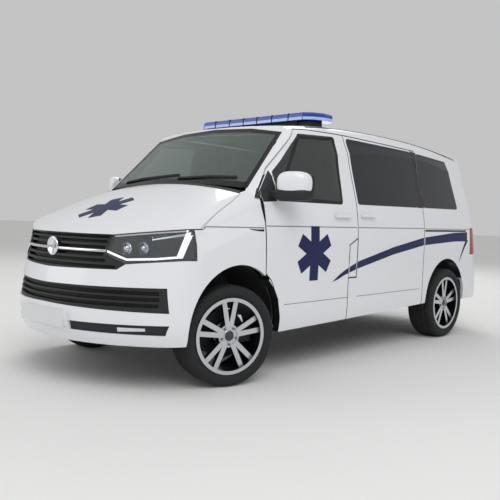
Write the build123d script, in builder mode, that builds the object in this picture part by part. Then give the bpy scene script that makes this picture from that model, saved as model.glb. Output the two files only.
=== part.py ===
from build123d import *
from collections import namedtuple
import math
import os

os.makedirs("parts", exist_ok=True)

# Overall sizes, millimetres: x forward, y to the left, z up from the ground
FRONT_AXLE_X = 1544
REAR_AXLE_X = -1456
HALF_TRACK = 814
SHUT_GAP = 8
FLAP_GAP = 3
GLASS_T = 6
SKIN_T = 25
DOOR_T = 54
WALL_T = 60
DOOR_SWING_ROOM = 12
ROOF_T = 45

# Reach of the cutting tools and their directions
REACH = 3000
SIDE_REACH = 1300
TOOL_LOW_Z = 100
TOOL_TOP_Z = 2400
CABIN_FRONT_X = 1480
NOSE_REAR_X = 1205
LEFTWARD = (0, 1, 0)
FORWARD = (1, 0, 0)
UPWARD = (0, 0, 1)

# Shift from the outer face of a panel to its inner face
GLASS_IN = (0, -GLASS_T, 0)
DOOR_IN = (0, -DOOR_T, 0)
WALL_IN = (0, -WALL_T, 0)
DOOR_ROOM_IN = (0, -WALL_T - DOOR_SWING_ROOM, 0)
ROOF_IN = (0, 0, -ROOF_T)
SCREEN_IN = (-GLASS_T, 0, -GLASS_T)
BONNET_IN = (-SKIN_T, 0, -SKIN_T)
NOSE_IN = (-SKIN_T, -SKIN_T, 0)
WING_IN = (-SKIN_T / 2, -SKIN_T, -SKIN_T)
TAIL_IN = (WALL_T, 0, -ROOF_T)
TAIL_GLASS_IN = (GLASS_T, 0, 0)
TAIL_LAMP_IN = (WALL_T, -WALL_T, 0)

# Plan outlines of the body, one per height
PlanRow = namedtuple("PlanRow", "z nose_x front_w mid_w rear_w tail_x front_c rear_c")
NOSE_R = 1200
TAIL_R = 2300
PLAN = [
    PlanRow(290, 2392, 900, 920, 880, -2422, 260, 230),
    PlanRow(520, 2450, 930, 941, 905, -2443, 260, 240),
    PlanRow(800, 2400, 938, 945, 905, -2400, 260, 240),
    PlanRow(1060, 2345, 935, 943, 895, -2362, 260, 230),
    PlanRow(1290, 2300, 900, 914, 862, -2305, 240, 215),
    PlanRow(1620, 2260, 838, 850, 795, -2190, 220, 190),
    PlanRow(2010, 2230, 765, 776, 715, -2015, 200, 160),
]

# Roof and bonnet lines on the middle plane, with the start of their rounded shoulders
CrownRow = namedtuple("CrownRow", "x z shoulder_y")
ROOF_ROWS = [
    CrownRow(2600, 1192, 672), CrownRow(1800, 1587, 672), CrownRow(1100, 1810, 672), CrownRow(600, 1899, 676),
    CrownRow(250, 1926, 677), CrownRow(-600, 1938, 674), CrownRow(-1300, 1918, 655), CrownRow(-1900,
        1886, 622),
    CrownRow(-2700, 1803, 560),
]
BONNET_ROWS = [
    CrownRow(2600, 874, 790), CrownRow(2250, 1048, 790), CrownRow(1900, 1201, 790), CrownRow(1550, 1332, 790),
    CrownRow(1150, 1455, 790),
]
ScreenRow = namedtuple("ScreenRow", "z x shoulder_y")
SCREEN_ROWS = [ScreenRow(1150, 1618, 822), ScreenRow(2000, 740, 675)]
ROOF_CROWN_R = 7000
BONNET_CROWN_R = 4500
SCREEN_PLAN_R = 4200
ROOF_SHOULDER_R = 150
BONNET_SHOULDER_R = 140
PILLAR_R = 125
SHOULDER_TURN = 84
ROOF_EDGE = 740


def plan_outline(row):
    """One closed plan outline of the body."""
    front_x = row.nose_x - NOSE_R + math.sqrt(NOSE_R**2 - row.front_w**2)
    rear_x = row.tail_x + TAIL_R - math.sqrt(TAIL_R**2 - row.rear_w**2)
    mid_x = (front_x + rear_x) / 2
    with BuildSketch(Plane.XY.offset(row.z)) as outline:
        with BuildLine():
            ThreePointArc((front_x, -row.front_w), (row.nose_x, 0), (front_x, row.front_w))
            ThreePointArc((front_x, row.front_w), (mid_x, row.mid_w), (rear_x, row.rear_w))
            ThreePointArc((rear_x, row.rear_w), (row.tail_x, 0), (rear_x, -row.rear_w))
            ThreePointArc((rear_x, -row.rear_w), (mid_x, -row.mid_w), (front_x, -row.front_w))
        make_face()
        fillet(outline.vertices().filter_by(lambda v: v.X > 0), radius=row.front_c)
        fillet(outline.vertices().filter_by(lambda v: v.X < rear_x + 1), radius=row.rear_c)
    return outline.sketch


def shoulder(start_out, start_in, crown_r, shoulder_r):
    """Middle and end points of the rounded shoulder that follows a crown arc."""
    lean = math.asin(start_out / crown_r)
    turn = math.radians(SHOULDER_TURN)
    points = []
    for angle in ((lean + turn) / 2, turn):
        out = start_out + shoulder_r * (math.sin(angle) - math.sin(lean))
        into = start_in - shoulder_r * (math.cos(lean) - math.cos(angle))
        points.append((out, into))
    return points


def crown_section(row, crown_r, shoulder_r):
    """Cross section under a crowned surface with rounded shoulders."""
    edge_y = row.shoulder_y
    edge_z = row.z - crown_r + math.sqrt(crown_r**2 - edge_y**2)
    (mid_y, mid_z), (end_y, end_z) = shoulder(edge_y, edge_z, crown_r, shoulder_r)
    far_z = end_z - SIDE_REACH
    base_z = TOOL_LOW_Z - SIDE_REACH
    with BuildSketch(Plane.YZ.offset(row.x)) as section:
        with BuildLine():
            ThreePointArc((-edge_y, edge_z), (0, row.z), (edge_y, edge_z))
            ThreePointArc((edge_y, edge_z), (mid_y, mid_z), (end_y, end_z))
            ThreePointArc((-edge_y, edge_z), (-mid_y, mid_z), (-end_y, end_z))
            Polyline((end_y, end_z), (SIDE_REACH, far_z), (SIDE_REACH, base_z),
                     (-SIDE_REACH, base_z), (-SIDE_REACH, far_z), (-end_y, end_z))
        make_face()
    return section.sketch


def screen_section(row):
    """Plan outline behind the windscreen with rounded pillars."""
    edge_y = row.shoulder_y
    edge_x = row.x - SCREEN_PLAN_R + math.sqrt(SCREEN_PLAN_R**2 - edge_y**2)
    (mid_y, mid_x), (end_y, end_x) = shoulder(edge_y, edge_x, SCREEN_PLAN_R, PILLAR_R)
    far_x = end_x - SIDE_REACH
    with BuildSketch(Plane.XY.offset(row.z)) as section:
        with BuildLine():
            ThreePointArc((edge_x, -edge_y), (row.x, 0), (edge_x, edge_y))
            ThreePointArc((edge_x, edge_y), (mid_x, mid_y), (end_x, end_y))
            ThreePointArc((edge_x, -edge_y), (mid_x, -mid_y), (end_x, -end_y))
            Polyline((end_x, end_y), (far_x, SIDE_REACH), (-REACH, SIDE_REACH),
                     (-REACH, -SIDE_REACH), (far_x, -SIDE_REACH), (end_x, -end_y))
        make_face()
    return section.sketch


def side_block(points, grow=0, corner=0):
    """Left-hand solid of a side-view outline, from the middle plane outwards."""
    with BuildPart() as block:
        with BuildSketch(Plane.XZ) as shape:
            Polygon(*points, align=None)
            if corner:
                fillet(shape.vertices(), radius=corner)
            if grow:
                offset(amount=grow, kind=Kind.INTERSECTION)
        extrude(amount=SIDE_REACH, dir=LEFTWARD)
    return block.part


def end_block(points, low_x, high_x, grow=0, corner=0):
    """Solid of an end-view outline between two cross planes."""
    with BuildPart() as block:
        with BuildSketch(Plane.YZ.offset(low_x)) as shape:
            Polygon(*points, align=None)
            if corner:
                fillet(shape.vertices(), radius=corner)
            if grow:
                offset(amount=grow, kind=Kind.INTERSECTION)
        extrude(amount=high_x - low_x, dir=FORWARD)
    return block.part


def top_block(points, low_z, high_z, grow=0):
    """Solid of a plan outline between two heights."""
    with BuildPart() as block:
        with BuildSketch(Plane.XY.offset(low_z)):
            Polygon(*points, align=None)
            if grow:
                offset(amount=grow, kind=Kind.INTERSECTION)
        extrude(amount=high_z - low_z, dir=UPWARD)
    return block.part


def both_sides(points):
    """Outline closed by its own mirror image, without doubling points on the middle plane."""
    return points + [(-y, z) for y, z in reversed(points) if y]


def box_between(low, high):
    """Plain box between two opposite corners."""
    sizes = [high[k] - low[k] for k in range(3)]
    return Solid.make_box(*sizes).moved(Location(low))


def panel(form, block, shift):
    """The outer layer of a form inside a block, as thick as the shift of its inner face."""
    whole = form & block
    return whole - whole.moved(Location(shift))


def shell(form, block, shift):
    """The outer layer of a form inside a block whose sides slope along the shift."""
    return (form & block) - form.moved(Location(shift))


def other_side(piece):
    """The same piece on the other side of the middle plane."""
    return piece.mirror(Plane.XZ)


# Cabin form behind the windscreen and nose form under the bonnet
cabin_zone = box_between((-REACH, -SIDE_REACH, 0), (CABIN_FRONT_X, SIDE_REACH, TOOL_TOP_Z))
nose_zone = box_between((NOSE_REAR_X, -SIDE_REACH, 0), (REACH, SIDE_REACH, TOOL_TOP_Z))
low_zone = box_between((-REACH, -SIDE_REACH, 0), (REACH, SIDE_REACH, SCREEN_ROWS[0].z))
roof_sections = [crown_section(row, ROOF_CROWN_R, ROOF_SHOULDER_R) for row in ROOF_ROWS]
bonnet_sections = [crown_section(row, BONNET_CROWN_R, BONNET_SHOULDER_R) for row in BONNET_ROWS]
screen_sections = [screen_section(row) for row in SCREEN_ROWS]
plan_sections = [plan_outline(row) for row in PLAN]

with BuildPart() as roof_tool:
    loft(sections=roof_sections)

with BuildPart() as bonnet_tool:
    loft(sections=bonnet_sections)

with BuildPart() as screen_tool:
    loft(sections=screen_sections, ruled=True)
    add(low_zone)

with BuildPart() as cabin_form:
    loft(sections=plan_sections)
    add(cabin_zone, mode=Mode.INTERSECT)
    add(roof_tool.part, mode=Mode.INTERSECT)
    add(screen_tool.part, mode=Mode.INTERSECT)

with BuildPart() as nose_form:
    loft(sections=plan_sections)
    add(nose_zone, mode=Mode.INTERSECT)
    add(bonnet_tool.part, mode=Mode.INTERSECT)

CABIN = cabin_form.part
NOSE = nose_form.part

# Wheels, brakes and steering
WHEEL_R = 340
KINGPIN_Y = 735
KINGPIN_R = 28
KNUCKLE_LOW_Z = 215
KNUCKLE_TOP_Z = 465
STEER_REST = -16
PIN_FIT = 0.3
MOVE_GAP = 6
STUB_R = 30
STUB_END_Y = 62
DISC_R = 165
DISC_IN_Y = -28
DISC_T = 26
CALIPER_FAR_X = 205
CALIPER_NEAR_X = 110
CALIPER_IN_Y = -58
CALIPER_OUT_Y = 22
CALIPER_H = 120
BRACKET_T = 20
BRACKET_H = 50
TYRE_HALF = [(108, 245), (108, 258), (118, 264), (127.5, 290), (125, 318), (108, 336), (84, 340)]
RIM_INNER_R = 233
RIM_SECTION = [
    (-118, RIM_INNER_R), (118, RIM_INNER_R), (118, 257), (108, 257), (108, 244.7), (-108,
        244.7), (-108, 257), (-118, 257),
]
SPOKE_PAIRS = 5
SPOKE_SPREAD = 11
SPOKE_W = 34
SPOKE_LOW_R = 60
SPOKE_LAP = 6
SPOKE_IN_Y = 62
SPOKE_OUT_Y = 96
FULL_TURN = 360
HUB_R = 78
HUB_OUT_Y = 92
HUB_IN_Y = 66
HAT_R = 85
DISC_BORE_R = 45
HUB_SECTION = [
    (HUB_OUT_Y, 0), (HUB_OUT_Y, HUB_R), (SPOKE_IN_Y - 32, HUB_R), (SPOKE_IN_Y - 32,
        HAT_R), (DISC_IN_Y + DISC_T, HAT_R),
    (DISC_IN_Y + DISC_T, DISC_R), (DISC_IN_Y, DISC_R), (DISC_IN_Y, DISC_BORE_R), (SPOKE_IN_Y - 32,
        DISC_BORE_R),
    (SPOKE_IN_Y - 32, STUB_R + PIN_FIT), (HUB_IN_Y, STUB_R + PIN_FIT), (HUB_IN_Y, 0),
]

# Floor, firewall, rails and wheel housings
FLOOR_LOW = 440
FLOOR_TOP = 520
FLOOR_HALF = 836
FLOOR_REAR_X = -2150
FIREWALL_X = 1300
FIREWALL_T = 20
FIREWALL_TOP = 1250
DASH_HALF = 760
RAIL_LAP = 100
RAIL_Y = 400
RAIL_W = 66
RAIL_LOW = 400
RAIL_TOP = 500
CARRIER_X = 2150
CARRIER_T = 40
CARRIER_HALF = 450
CARRIER_LOW = 340
CARRIER_TOP = 860
HOUSING_T = 10
FRONT_HOUSING_R = 436
FRONT_HOUSING_Y = 468
REAR_HOUSING_R = 430
REAR_HOUSING_Y = 600
COWL_FRONT_X = 1432
COWL_W = 40
COWL_HALF = 780
COWL_TOP = 1500

# Engine, subframe and front suspension
SUBFRAME_REAR_X = 1430
SUBFRAME_FRONT_X = 1660
SUBFRAME_HALF = 466
SUBFRAME_LOW = 180
SUBFRAME_TOP = 300
POST_W = 50
ARM_LOW_Z = 190
ARM_HIGH_Z = 490
ARM_W = 50
TOWER_Y = 500
TOWER_W = 60
STRUT_R = 28
STRUT_TOP = 815
ENGINE_REAR_X = 1480
ENGINE_FRONT_X = 2000
ENGINE_HALF = 300
ENGINE_TOP = 900
ENGINE_EDGE = 40

# Rear suspension, tank and exhaust
BEAM_R = 45
BEAM_HALF = 735
SPRING_Y = 540
SPRING_R = 45
TRAIL_Y = 460
TRAIL_W = 60
TRAIL_LOW = 310
TRAIL_TOP = 370
TRAIL_FRONT_X = -960
TANK_REAR_X = -600
TANK_FRONT_X = 250
TANK_FAR_Y = 620
TANK_NEAR_Y = 150
TANK_LOW = 300
MUFFLER_REAR_X = -700
MUFFLER_FRONT_X = -100
MUFFLER_FAR_Y = 430
PIPE_Y = 290
PIPE_Z = 370
PIPE_R = 28
PIPE_LEN = 1250

# Cab and load space
DASH_SIDE = [(FIREWALL_X, 1230), (1000, 1180), (930, 1050), (1000, 900), (FIREWALL_X, 880)]
STEER_X = 800
STEER_Y = 390
STEER_Z = 1090
STEER_TILT = 25
STEER_R = 180
STEER_RIM_R = 15
STEER_HUB_R = 62
STEER_HUB_T = 30
STEER_SPOKES = (0, 90, 270)
STEER_SPOKE_W = 40
STEER_SPOKE_T = 14
SHAFT_R = 14
SHAFT_LEN = 120
COLUMN_NEAR = 30
COLUMN_FAR = 300
COLUMN_R = 34
SEAT_Y = 400
SEAT_W = 480
HEAD_W = 260
SEAT_BASE_W = 380
SEAT_CUSHION = [(290, 700), (800, 720), (800, 850), (290, 830)]
SEAT_BACK = [(290, 790), (330, 830), (210, 1470), (110, 1470), (200, 790)]
SEAT_HEAD = [(195, 1470), (175, 1660), (85, 1660), (115, 1470)]
SEAT_BASE = [(320, FLOOR_TOP), (740, FLOOR_TOP), (740, 760), (320, 760)]
PART_X = 50
PART_T = 20
PART_HALF = [(0, FLOOR_TOP), (780, FLOOR_TOP), (780, 1150), (690, 1750), (0, 1750)]
PART_WINDOW_HALF = 350
PART_WINDOW_LOW = 1250
PART_WINDOW_TOP = 1600
BED_REAR_X = -2000
BED_FRONT_X = -100
BED_HALF = 280
BED_LOW = 860
BED_TOP = 960
BED_LEG_IN = 120
BED_LEG_R = 25

# Light bar, aerial and mirrors
ROOF_SEAT_LOW = 1880
BAR_FOOT_REAR_X = 240
BAR_FOOT_FRONT_X = 440
BAR_FOOT_HALF = 480
BAR_LOW = 1938
BAR_TOP = 1998
BAR_EDGE = 14
BAR_PLAN = [(494, 580), (440, 650), (340, 695), (240, 695), (190, 640)]
AERIAL_X = -434
AERIAL_Y = 270
AERIAL_R = 16
AERIAL_TIP_R = 7
AERIAL_TOP = 1985
MIRROR_X = 1190
MIRROR_D = 120
MIRROR_IN_Y = 960
MIRROR_W = 188
MIRROR_SWEEP = 100
MIRROR_LOW = 1258
MIRROR_H = 202
MIRROR_EDGE = 30
MIRROR_LAP = 50
MIRROR_ARM_X = 1200
MIRROR_ROOT_Y = 860
MIRROR_ARM_Z = 1300
MIRROR_ARM_W = 70
MIRROR_ARM_H = 50

# Panel seams in side view, x and z
DOOR_LEAD = [(1287, 746), (1311, 1236), (1311, 1330)]
DOOR_TOP = [(1178, 1487), (816, 1812), (700, 1822), (236, 1826)]
DOOR_TRAIL = [(176, 1262), (172, 993), (288, 938), (284, 334)]
DOOR_FOOT = [(1120, 316), (1120, 420), (1150, 560), (1230, 700)]
FRONT_DOOR = DOOR_LEAD + DOOR_TOP + DOOR_TRAIL + DOOR_FOOT
SLIDE_DOOR = [
    (236, 1826), (176, 1262), (172, 993), (172, 671), (286, 671), (284, 334),
    (-800, 360), (-959, 364), (-959, 1262), (-930, 1804),
]
FRONT_WINDOW = [(1168, 1256), (1164, 1462), (800, 1778), (360, 1798), (366, 1256)]
SLIDE_WINDOW = [(150, 1264), (205, 1803), (-846, 1790), (-868, 1270)]
QUARTER_WINDOW = [(-985, 1272), (-962, 1784), (-1615, 1758), (-1728, 1276)]
FRONT_HOLE = [
    (1050, 480), (1050, 640), (1120, 840), (1180, 1060), (1180, 1320), (1130, 1460), (800, 1764), (300, 1780),
    (240, 1262), (236, 1010), (340, 930), (340, 480),
]
SLIDE_HOLE = [(160, 1775), (112, 1262), (112, 640), (225, 640), (225, 480), (-900, 480), (-900,
    1262), (-880, 1755)]
FUEL_FLAP = [(280, 679), (280, 932), (180, 980), (180, 679)]
SILL_LINE = [(1200, 312), (-805, 362), (-1100, 372)]
WINDOW_R = 28
WING_SEAM_Z = 1339
WING = [
    (1268, 300), (1291, 746), (1319, 1236), (1319, WING_SEAM_Z), (1700, WING_SEAM_Z), (2120,
        1160), (1962, 1062),
    (2003, 868), (1834, 720), (1700, 300),
]
ARCH_Z = 390
FRONT_ARCH_R = 426
REAR_ARCH_Z = 362
REAR_ARCH_R = 420
FRONT_ARCH_FEET = [(1055, 250), (1120, ARCH_Z), (1970, ARCH_Z), (1965, 250)]
REAR_ARCH_FEET = [(-990, 250), (-1034, REAR_ARCH_Z), (-1876, REAR_ARCH_Z), (-1880, 250)]

# Panel seams in end view, y and z, left half from the middle plane
SCREEN_HALF = [(0, 1378), (400, 1370), (795, 1339), (718, 1783), (400, 1829), (0, 1845)]
BONNET_LIP = [(0, 1000), (497, 1000), (930, 1056), (1100, 1070), (1100, 1600), (0, 1600)]
LAMP = [(470, 872), (500, 1000), (930, 1056), (990, 1064), (990, 850), (892, 850), (608, 818)]
BUMPER_TOP = [(0, 770), (560, 782), (608, 818), (892, 850), (1100, 868)]
UPPER_GRILLE = [(0, 770), (560, 782), (608, 818), (470, 872), (500, 1000), (0, 1000)]
LOWER_GRILLE = [(0, 540), (863, 524), (838, 679), (0, 668)]
FOG_SLOT = [(262, 384), (842, 384), (864, 448), (262, 442)]
TAIL_LAMP = [(772, 812), (1000, 812), (1000, 1092), (764, 1092)]
TAILGATE = [(765, 585), (770, 812), (762, 1100), (742, 1272), (650, 1800), (630, 2000)]
TAIL_WINDOW = [(640, 1290), (590, 1740)]
LAMP_BACK_X = 1920
NOSE_CUT_X = 2010
TAIL_CUT_X = -1990
REAR_SEAM_Z = 571
TAILGATE_FLANGE = 50

# Bonnet outline in plan, left half
BONNET_REAR_X = 1440
BONNET_SIDE = [(BONNET_REAR_X, 812), (1560, 846), (1897, 898), (1990, 930), (REACH, 930)]

# Inside faces of the side walls in end view and of the tail in side view
INNER_HALF = [(0, 200), (836, 200), (836, 1060), (800, 1290), (722, 1650), (690, 1846), (0, 1846)]
INNER_TAIL = [
    (1700, 200), (-2150, 200), (-2150, 600), (-2100, 800), (-2070, 1060), (-2040, 1290), (-1960,
        1620), (-1890, 1846),
    (1700, 1846),
]
BUMPER_SIDE = [(1834, 720), (2003, 868), (2003, 1000), (2700, 1000), (2700, 200), (1668, 200)]
SlotRow = namedtuple("SlotRow", "low_z high_z half_y")
UPPER_SLOTS = [
    SlotRow(786, 806, 540), SlotRow(822, 844, 470), SlotRow(860, 882, 448), SlotRow(906, 926, 452),
    SlotRow(942, 962, 462), SlotRow(974, 988, 470),
]
LOWER_SLOTS = [SlotRow(556, 580, 806), SlotRow(594, 618, 806), SlotRow(632, 656, 800)]
LAMP_RIM = 14
LAMP_COVER_IN = (-6, -4, 0)
LAMP_FLOOR_IN = (-60, -44, 0)
LAMP_BACK_IN = (-90, -66, 0)
GRILLE_FACE_IN = (-10, 0, 0)
GRILLE_FLOOR_IN = (-48, 0, 0)
GRILLE_BACK_IN = (-62, 0, 0)
FOG_FACE_IN = (-14, -8, 0)
FOG_BACK_IN = (-40, -24, 0)
FLAP_IN = (0, -12, 0)
REAR_IN = (SKIN_T, -SKIN_T, 0)


def arch_block(axle_x, arch_z, radius, feet):
    """Left-hand solid that opens a wheel arch."""
    with BuildPart() as block:
        with BuildSketch(Plane.XZ):
            with Locations((axle_x, arch_z)):
                Circle(radius)
            Polygon(*feet, align=None)
        extrude(amount=SIDE_REACH, dir=LEFTWARD)
    return block.part


front_arch = arch_block(FRONT_AXLE_X, ARCH_Z, FRONT_ARCH_R, FRONT_ARCH_FEET)
rear_arch = arch_block(REAR_AXLE_X, REAR_ARCH_Z, REAR_ARCH_R, REAR_ARCH_FEET)
screen_block = end_block(both_sides(SCREEN_HALF), SCREEN_ROWS[1].x, 1700)
front_window_block = side_block(FRONT_WINDOW, 0, WINDOW_R)
slide_window_block = side_block(SLIDE_WINDOW, 0, WINDOW_R)
quarter_window_block = side_block(QUARTER_WINDOW, 0, WINDOW_R)
tail_window_block = end_block(both_sides(TAIL_WINDOW), -REACH, TAIL_CUT_X, 0, WINDOW_R)
lamp_block = end_block(LAMP, LAMP_BACK_X, REACH)
tail_lamp_block = end_block(TAIL_LAMP, -REACH, TAIL_CUT_X)
upper_grille_block = end_block(both_sides(UPPER_GRILLE), NOSE_CUT_X, REACH)
lower_grille_block = end_block(both_sides(LOWER_GRILLE), NOSE_CUT_X, REACH)
fog_block = end_block(FOG_SLOT, NOSE_CUT_X, REACH)
below_sill = side_block([(2700, 200), (2700, 300), (1990, 310), *SILL_LINE, (-1800, 350), (-2700,
    340), (-2700, 200)])
frame_zone = side_block([(-2600, 200), (1250, 200), (1250, 1270), (1700, 1270), (1700, 2100), (-2600, 2100)])
rear_zone = box_between((-2600, 0, 0), (TAIL_CUT_X + SHUT_GAP / 2, SIDE_REACH, 2100))
outboard_zone = box_between((-2600, ROOF_EDGE, 0), (1600, SIDE_REACH, 2100)) + rear_zone
roof_zone = box_between((TAIL_CUT_X + SHUT_GAP / 2, -ROOF_EDGE, 1700), (1200, ROOF_EDGE, 2100))
rear_low_zone = box_between((-2600, 0, 0), (REAR_AXLE_X, SIDE_REACH, REAR_SEAM_Z))
door_recess = panel(CABIN, side_block(FRONT_DOOR, SHUT_GAP / 2), DOOR_ROOM_IN)
slide_recess = panel(CABIN, side_block(SLIDE_DOOR, SHUT_GAP / 2), WALL_IN)
tailgate_gap = end_block(both_sides(TAILGATE), -REACH, TAIL_CUT_X + SHUT_GAP / 2, SHUT_GAP / 2)
tailgate_recess = shell(CABIN, tailgate_gap, TAIL_IN)
tailgate_hole = end_block(both_sides(TAILGATE), -REACH, TAIL_CUT_X + TAILGATE_FLANGE, -TAILGATE_FLANGE)
inner_length = side_block(INNER_TAIL)
inner_space = end_block(both_sides(INNER_HALF), -2400, 1700) & (inner_length + other_side(inner_length))

pillar_foot = NOSE & box_between((1319, 0, 1100), (1700, SIDE_REACH, 1500))
cowl_block = box_between((1300, 0, 1100), (1440, 800, 1500))
wing_zone = box_between((1000, 700, 0), (2200, SIDE_REACH, 1600))

def keep(piece, node):
    """Name a finished node and write its file."""
    piece.part.label = node
    export_step(piece.part, f"parts/{node}.step")


front_hole = side_block(FRONT_HOLE, 0, WINDOW_R)
slide_hole = side_block(SLIDE_HOLE, 0, WINDOW_R)
tail_lamp_layer = panel(CABIN, tail_lamp_block, TAIL_LAMP_IN)
fuel_recess = panel(CABIN, side_block(FUEL_FLAP, FLAP_GAP), FLAP_IN)
fuel_flap_layer = panel(CABIN, side_block(FUEL_FLAP), FLAP_IN)

# Side frames: pillars, rails and rear quarters
with BuildPart() as plain_frame:
    add(CABIN, clean=False)
    add(outboard_zone, clean=False, mode=Mode.INTERSECT)
    add(frame_zone, clean=False, mode=Mode.INTERSECT)
    for cut in (inner_space, door_recess, slide_recess, tailgate_recess, front_hole, slide_hole,
        quarter_window_block):
        add(cut, clean=False, mode=Mode.SUBTRACT)
    for cut in (tailgate_hole, screen_block, front_arch, rear_arch, below_sill, tail_lamp_layer,
        rear_low_zone, pillar_foot):
        add(cut, clean=False, mode=Mode.SUBTRACT)

with BuildPart() as side_frame_left:
    add(plain_frame.part, clean=False)
    add(fuel_recess, clean=False, mode=Mode.SUBTRACT)
keep(side_frame_left, "side_frame_left")

with BuildPart() as side_frame_right:
    add(other_side(plain_frame.part), clean=False)
keep(side_frame_right, "side_frame_right")

with BuildPart() as fuel_flap:
    add(fuel_flap_layer, clean=False)
keep(fuel_flap, "fuel_flap")

# Roof panel with the header over the windscreen
roof_layer = panel(CABIN, roof_zone, ROOF_IN)
with BuildPart() as roof_sheet:
    add(roof_layer, clean=False)
    add(screen_block, clean=False, mode=Mode.SUBTRACT)
    for recess in (door_recess, slide_recess):
        add(recess, clean=False, mode=Mode.SUBTRACT)
        add(other_side(recess), clean=False, mode=Mode.SUBTRACT)

# The door recesses leave two loose corners, so the roof is the largest solid
with BuildPart() as roof:
    add(roof_sheet.part.solids().sort_by(SortBy.VOLUME)[-1], clean=False)
keep(roof, "roof")

# Glass that does not move
screen_layer = shell(CABIN, screen_block, SCREEN_IN)
with BuildPart() as windscreen:
    add(screen_layer, clean=False)
keep(windscreen, "windscreen")

slide_glass = panel(CABIN, slide_window_block, GLASS_IN)
quarter_glass = panel(CABIN, quarter_window_block, GLASS_IN)
with BuildPart() as side_glass:
    for pane in (slide_glass, quarter_glass):
        add(pane, clean=False)
        add(other_side(pane), clean=False)
keep(side_glass, "side_glass")

# Sliding doors, each with a latch tongue that meets the frame
slide_layer = panel(CABIN, side_block(SLIDE_DOOR, -SHUT_GAP / 2), DOOR_IN)
latch = box_between((-959 - SHUT_GAP / 2, 898, 700), (-930, 925, 740))
with BuildPart() as sliding_door_left:
    add(slide_layer, clean=False)
    add(slide_window_block, clean=False, mode=Mode.SUBTRACT)
    add(latch, clean=False)
keep(sliding_door_left, "sliding_door_left")

with BuildPart() as sliding_door_right:
    add(other_side(sliding_door_left.part), clean=False)
keep(sliding_door_right, "sliding_door_right")

# Front doors and their glass
door_layer = panel(CABIN, side_block(FRONT_DOOR, -SHUT_GAP / 2), DOOR_IN)
door_pane = panel(CABIN, front_window_block, GLASS_IN)
with BuildPart() as front_door_left:
    add(door_layer, clean=False)
    add(front_window_block, clean=False, mode=Mode.SUBTRACT)
keep(front_door_left, "front_door_left")

with BuildPart() as front_door_right:
    add(other_side(front_door_left.part), clean=False)
keep(front_door_right, "front_door_right")

with BuildPart() as door_glass_left:
    add(door_pane, clean=False)
keep(door_glass_left, "door_glass_left")

with BuildPart() as door_glass_right:
    add(other_side(door_pane), clean=False)
keep(door_glass_right, "door_glass_right")

# Tailgate and its glass
tailgate_layer = shell(CABIN, end_block(both_sides(TAILGATE), -REACH, TAIL_CUT_X - SHUT_GAP / 2,
    -SHUT_GAP / 2), TAIL_IN)
tail_pane = panel(CABIN, tail_window_block, TAIL_GLASS_IN)
with BuildPart() as tailgate:
    add(tailgate_layer, clean=False)
    add(tail_window_block, clean=False, mode=Mode.SUBTRACT)
keep(tailgate, "tailgate")

with BuildPart() as tailgate_glass:
    add(tail_pane, clean=False)
keep(tailgate_glass, "tailgate_glass")

with BuildPart() as tail_lamps:
    add(tail_lamp_layer, clean=False)
    add(other_side(tail_lamp_layer), clean=False)
keep(tail_lamps, "tail_lamps")

# Bonnet and wings
bonnet_plan = BONNET_SIDE + [(x, -y) for x, y in reversed(BONNET_SIDE)]
bonnet_block = top_block(bonnet_plan, 900, 1600) & end_block(both_sides(BONNET_LIP), 1200, REACH)
bonnet_gap = top_block(bonnet_plan, 900, 1600, SHUT_GAP) & end_block(both_sides(BONNET_LIP), 1200,
    REACH, SHUT_GAP)
bonnet_layer = panel(NOSE, bonnet_block, BONNET_IN)
with BuildPart() as bonnet:
    add(bonnet_layer, clean=False)
keep(bonnet, "bonnet")

wing_layer = panel(NOSE, side_block(WING) & wing_zone, WING_IN)
with BuildPart() as wing_left:
    add(wing_layer, clean=False)
    for cut in (bonnet_gap, lamp_block, front_arch, cowl_block):
        add(cut, clean=False, mode=Mode.SUBTRACT)
keep(wing_left, "wing_left")

with BuildPart() as wing_right:
    add(other_side(wing_left.part), clean=False)
keep(wing_right, "wing_right")

# Front bumper, one half mirrored over the middle plane
bumper_end = end_block([(0, 200)] + BUMPER_TOP + [(1100, 200)], 1500, REACH)
bumper_block = side_block(BUMPER_SIDE) & bumper_end
bumper_layer = panel(NOSE, bumper_block, NOSE_IN)
with BuildPart() as front_bumper:
    add(bumper_layer, clean=False)
    for cut in (lower_grille_block, fog_block, front_arch, below_sill):
        add(cut, clean=False, mode=Mode.SUBTRACT)
    mirror(about=Plane.XZ)
keep(front_bumper, "front_bumper")

# Rear bumper
rear_bumper_block = box_between((-2600, 0, 200), (-1700, SIDE_REACH, REAR_SEAM_Z))
rear_bumper_layer = panel(CABIN, rear_bumper_block, REAR_IN)
with BuildPart() as rear_bumper:
    add(rear_bumper_layer, clean=False)
    add(rear_arch, clean=False, mode=Mode.SUBTRACT)
    add(below_sill, clean=False, mode=Mode.SUBTRACT)
    mirror(about=Plane.XZ)
keep(rear_bumper, "rear_bumper")

# Headlamps: a clear cover on a dark housing
lamp_whole = NOSE & lamp_block
lamp_cover = lamp_whole - lamp_whole.moved(Location(LAMP_COVER_IN))
lamp_core = (lamp_whole.moved(Location(LAMP_COVER_IN)) & lamp_block) - lamp_whole.moved(Location(LAMP_BACK_IN))
lamp_hollow = (lamp_whole - lamp_whole.moved(Location(LAMP_FLOOR_IN))) & end_block(LAMP,
    LAMP_BACK_X + LAMP_RIM, REACH, -LAMP_RIM)
with BuildPart() as headlamp_housings:
    add(lamp_core, clean=False)
    add(lamp_hollow, clean=False, mode=Mode.SUBTRACT)
    mirror(about=Plane.XZ)
keep(headlamp_housings, "headlamp_housings")

with BuildPart() as headlamp_covers:
    add(lamp_cover, clean=False)
    mirror(about=Plane.XZ)
keep(headlamp_covers, "headlamp_covers")

# Grilles: plates with horizontal slots
def slots(rows):
    """Slot blocks of a grille, one per row of low z, high z and half width."""
    return [box_between((NOSE_CUT_X, -row.half_y, row.low_z), (REACH, row.half_y,
        row.high_z)) for row in rows]


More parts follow.
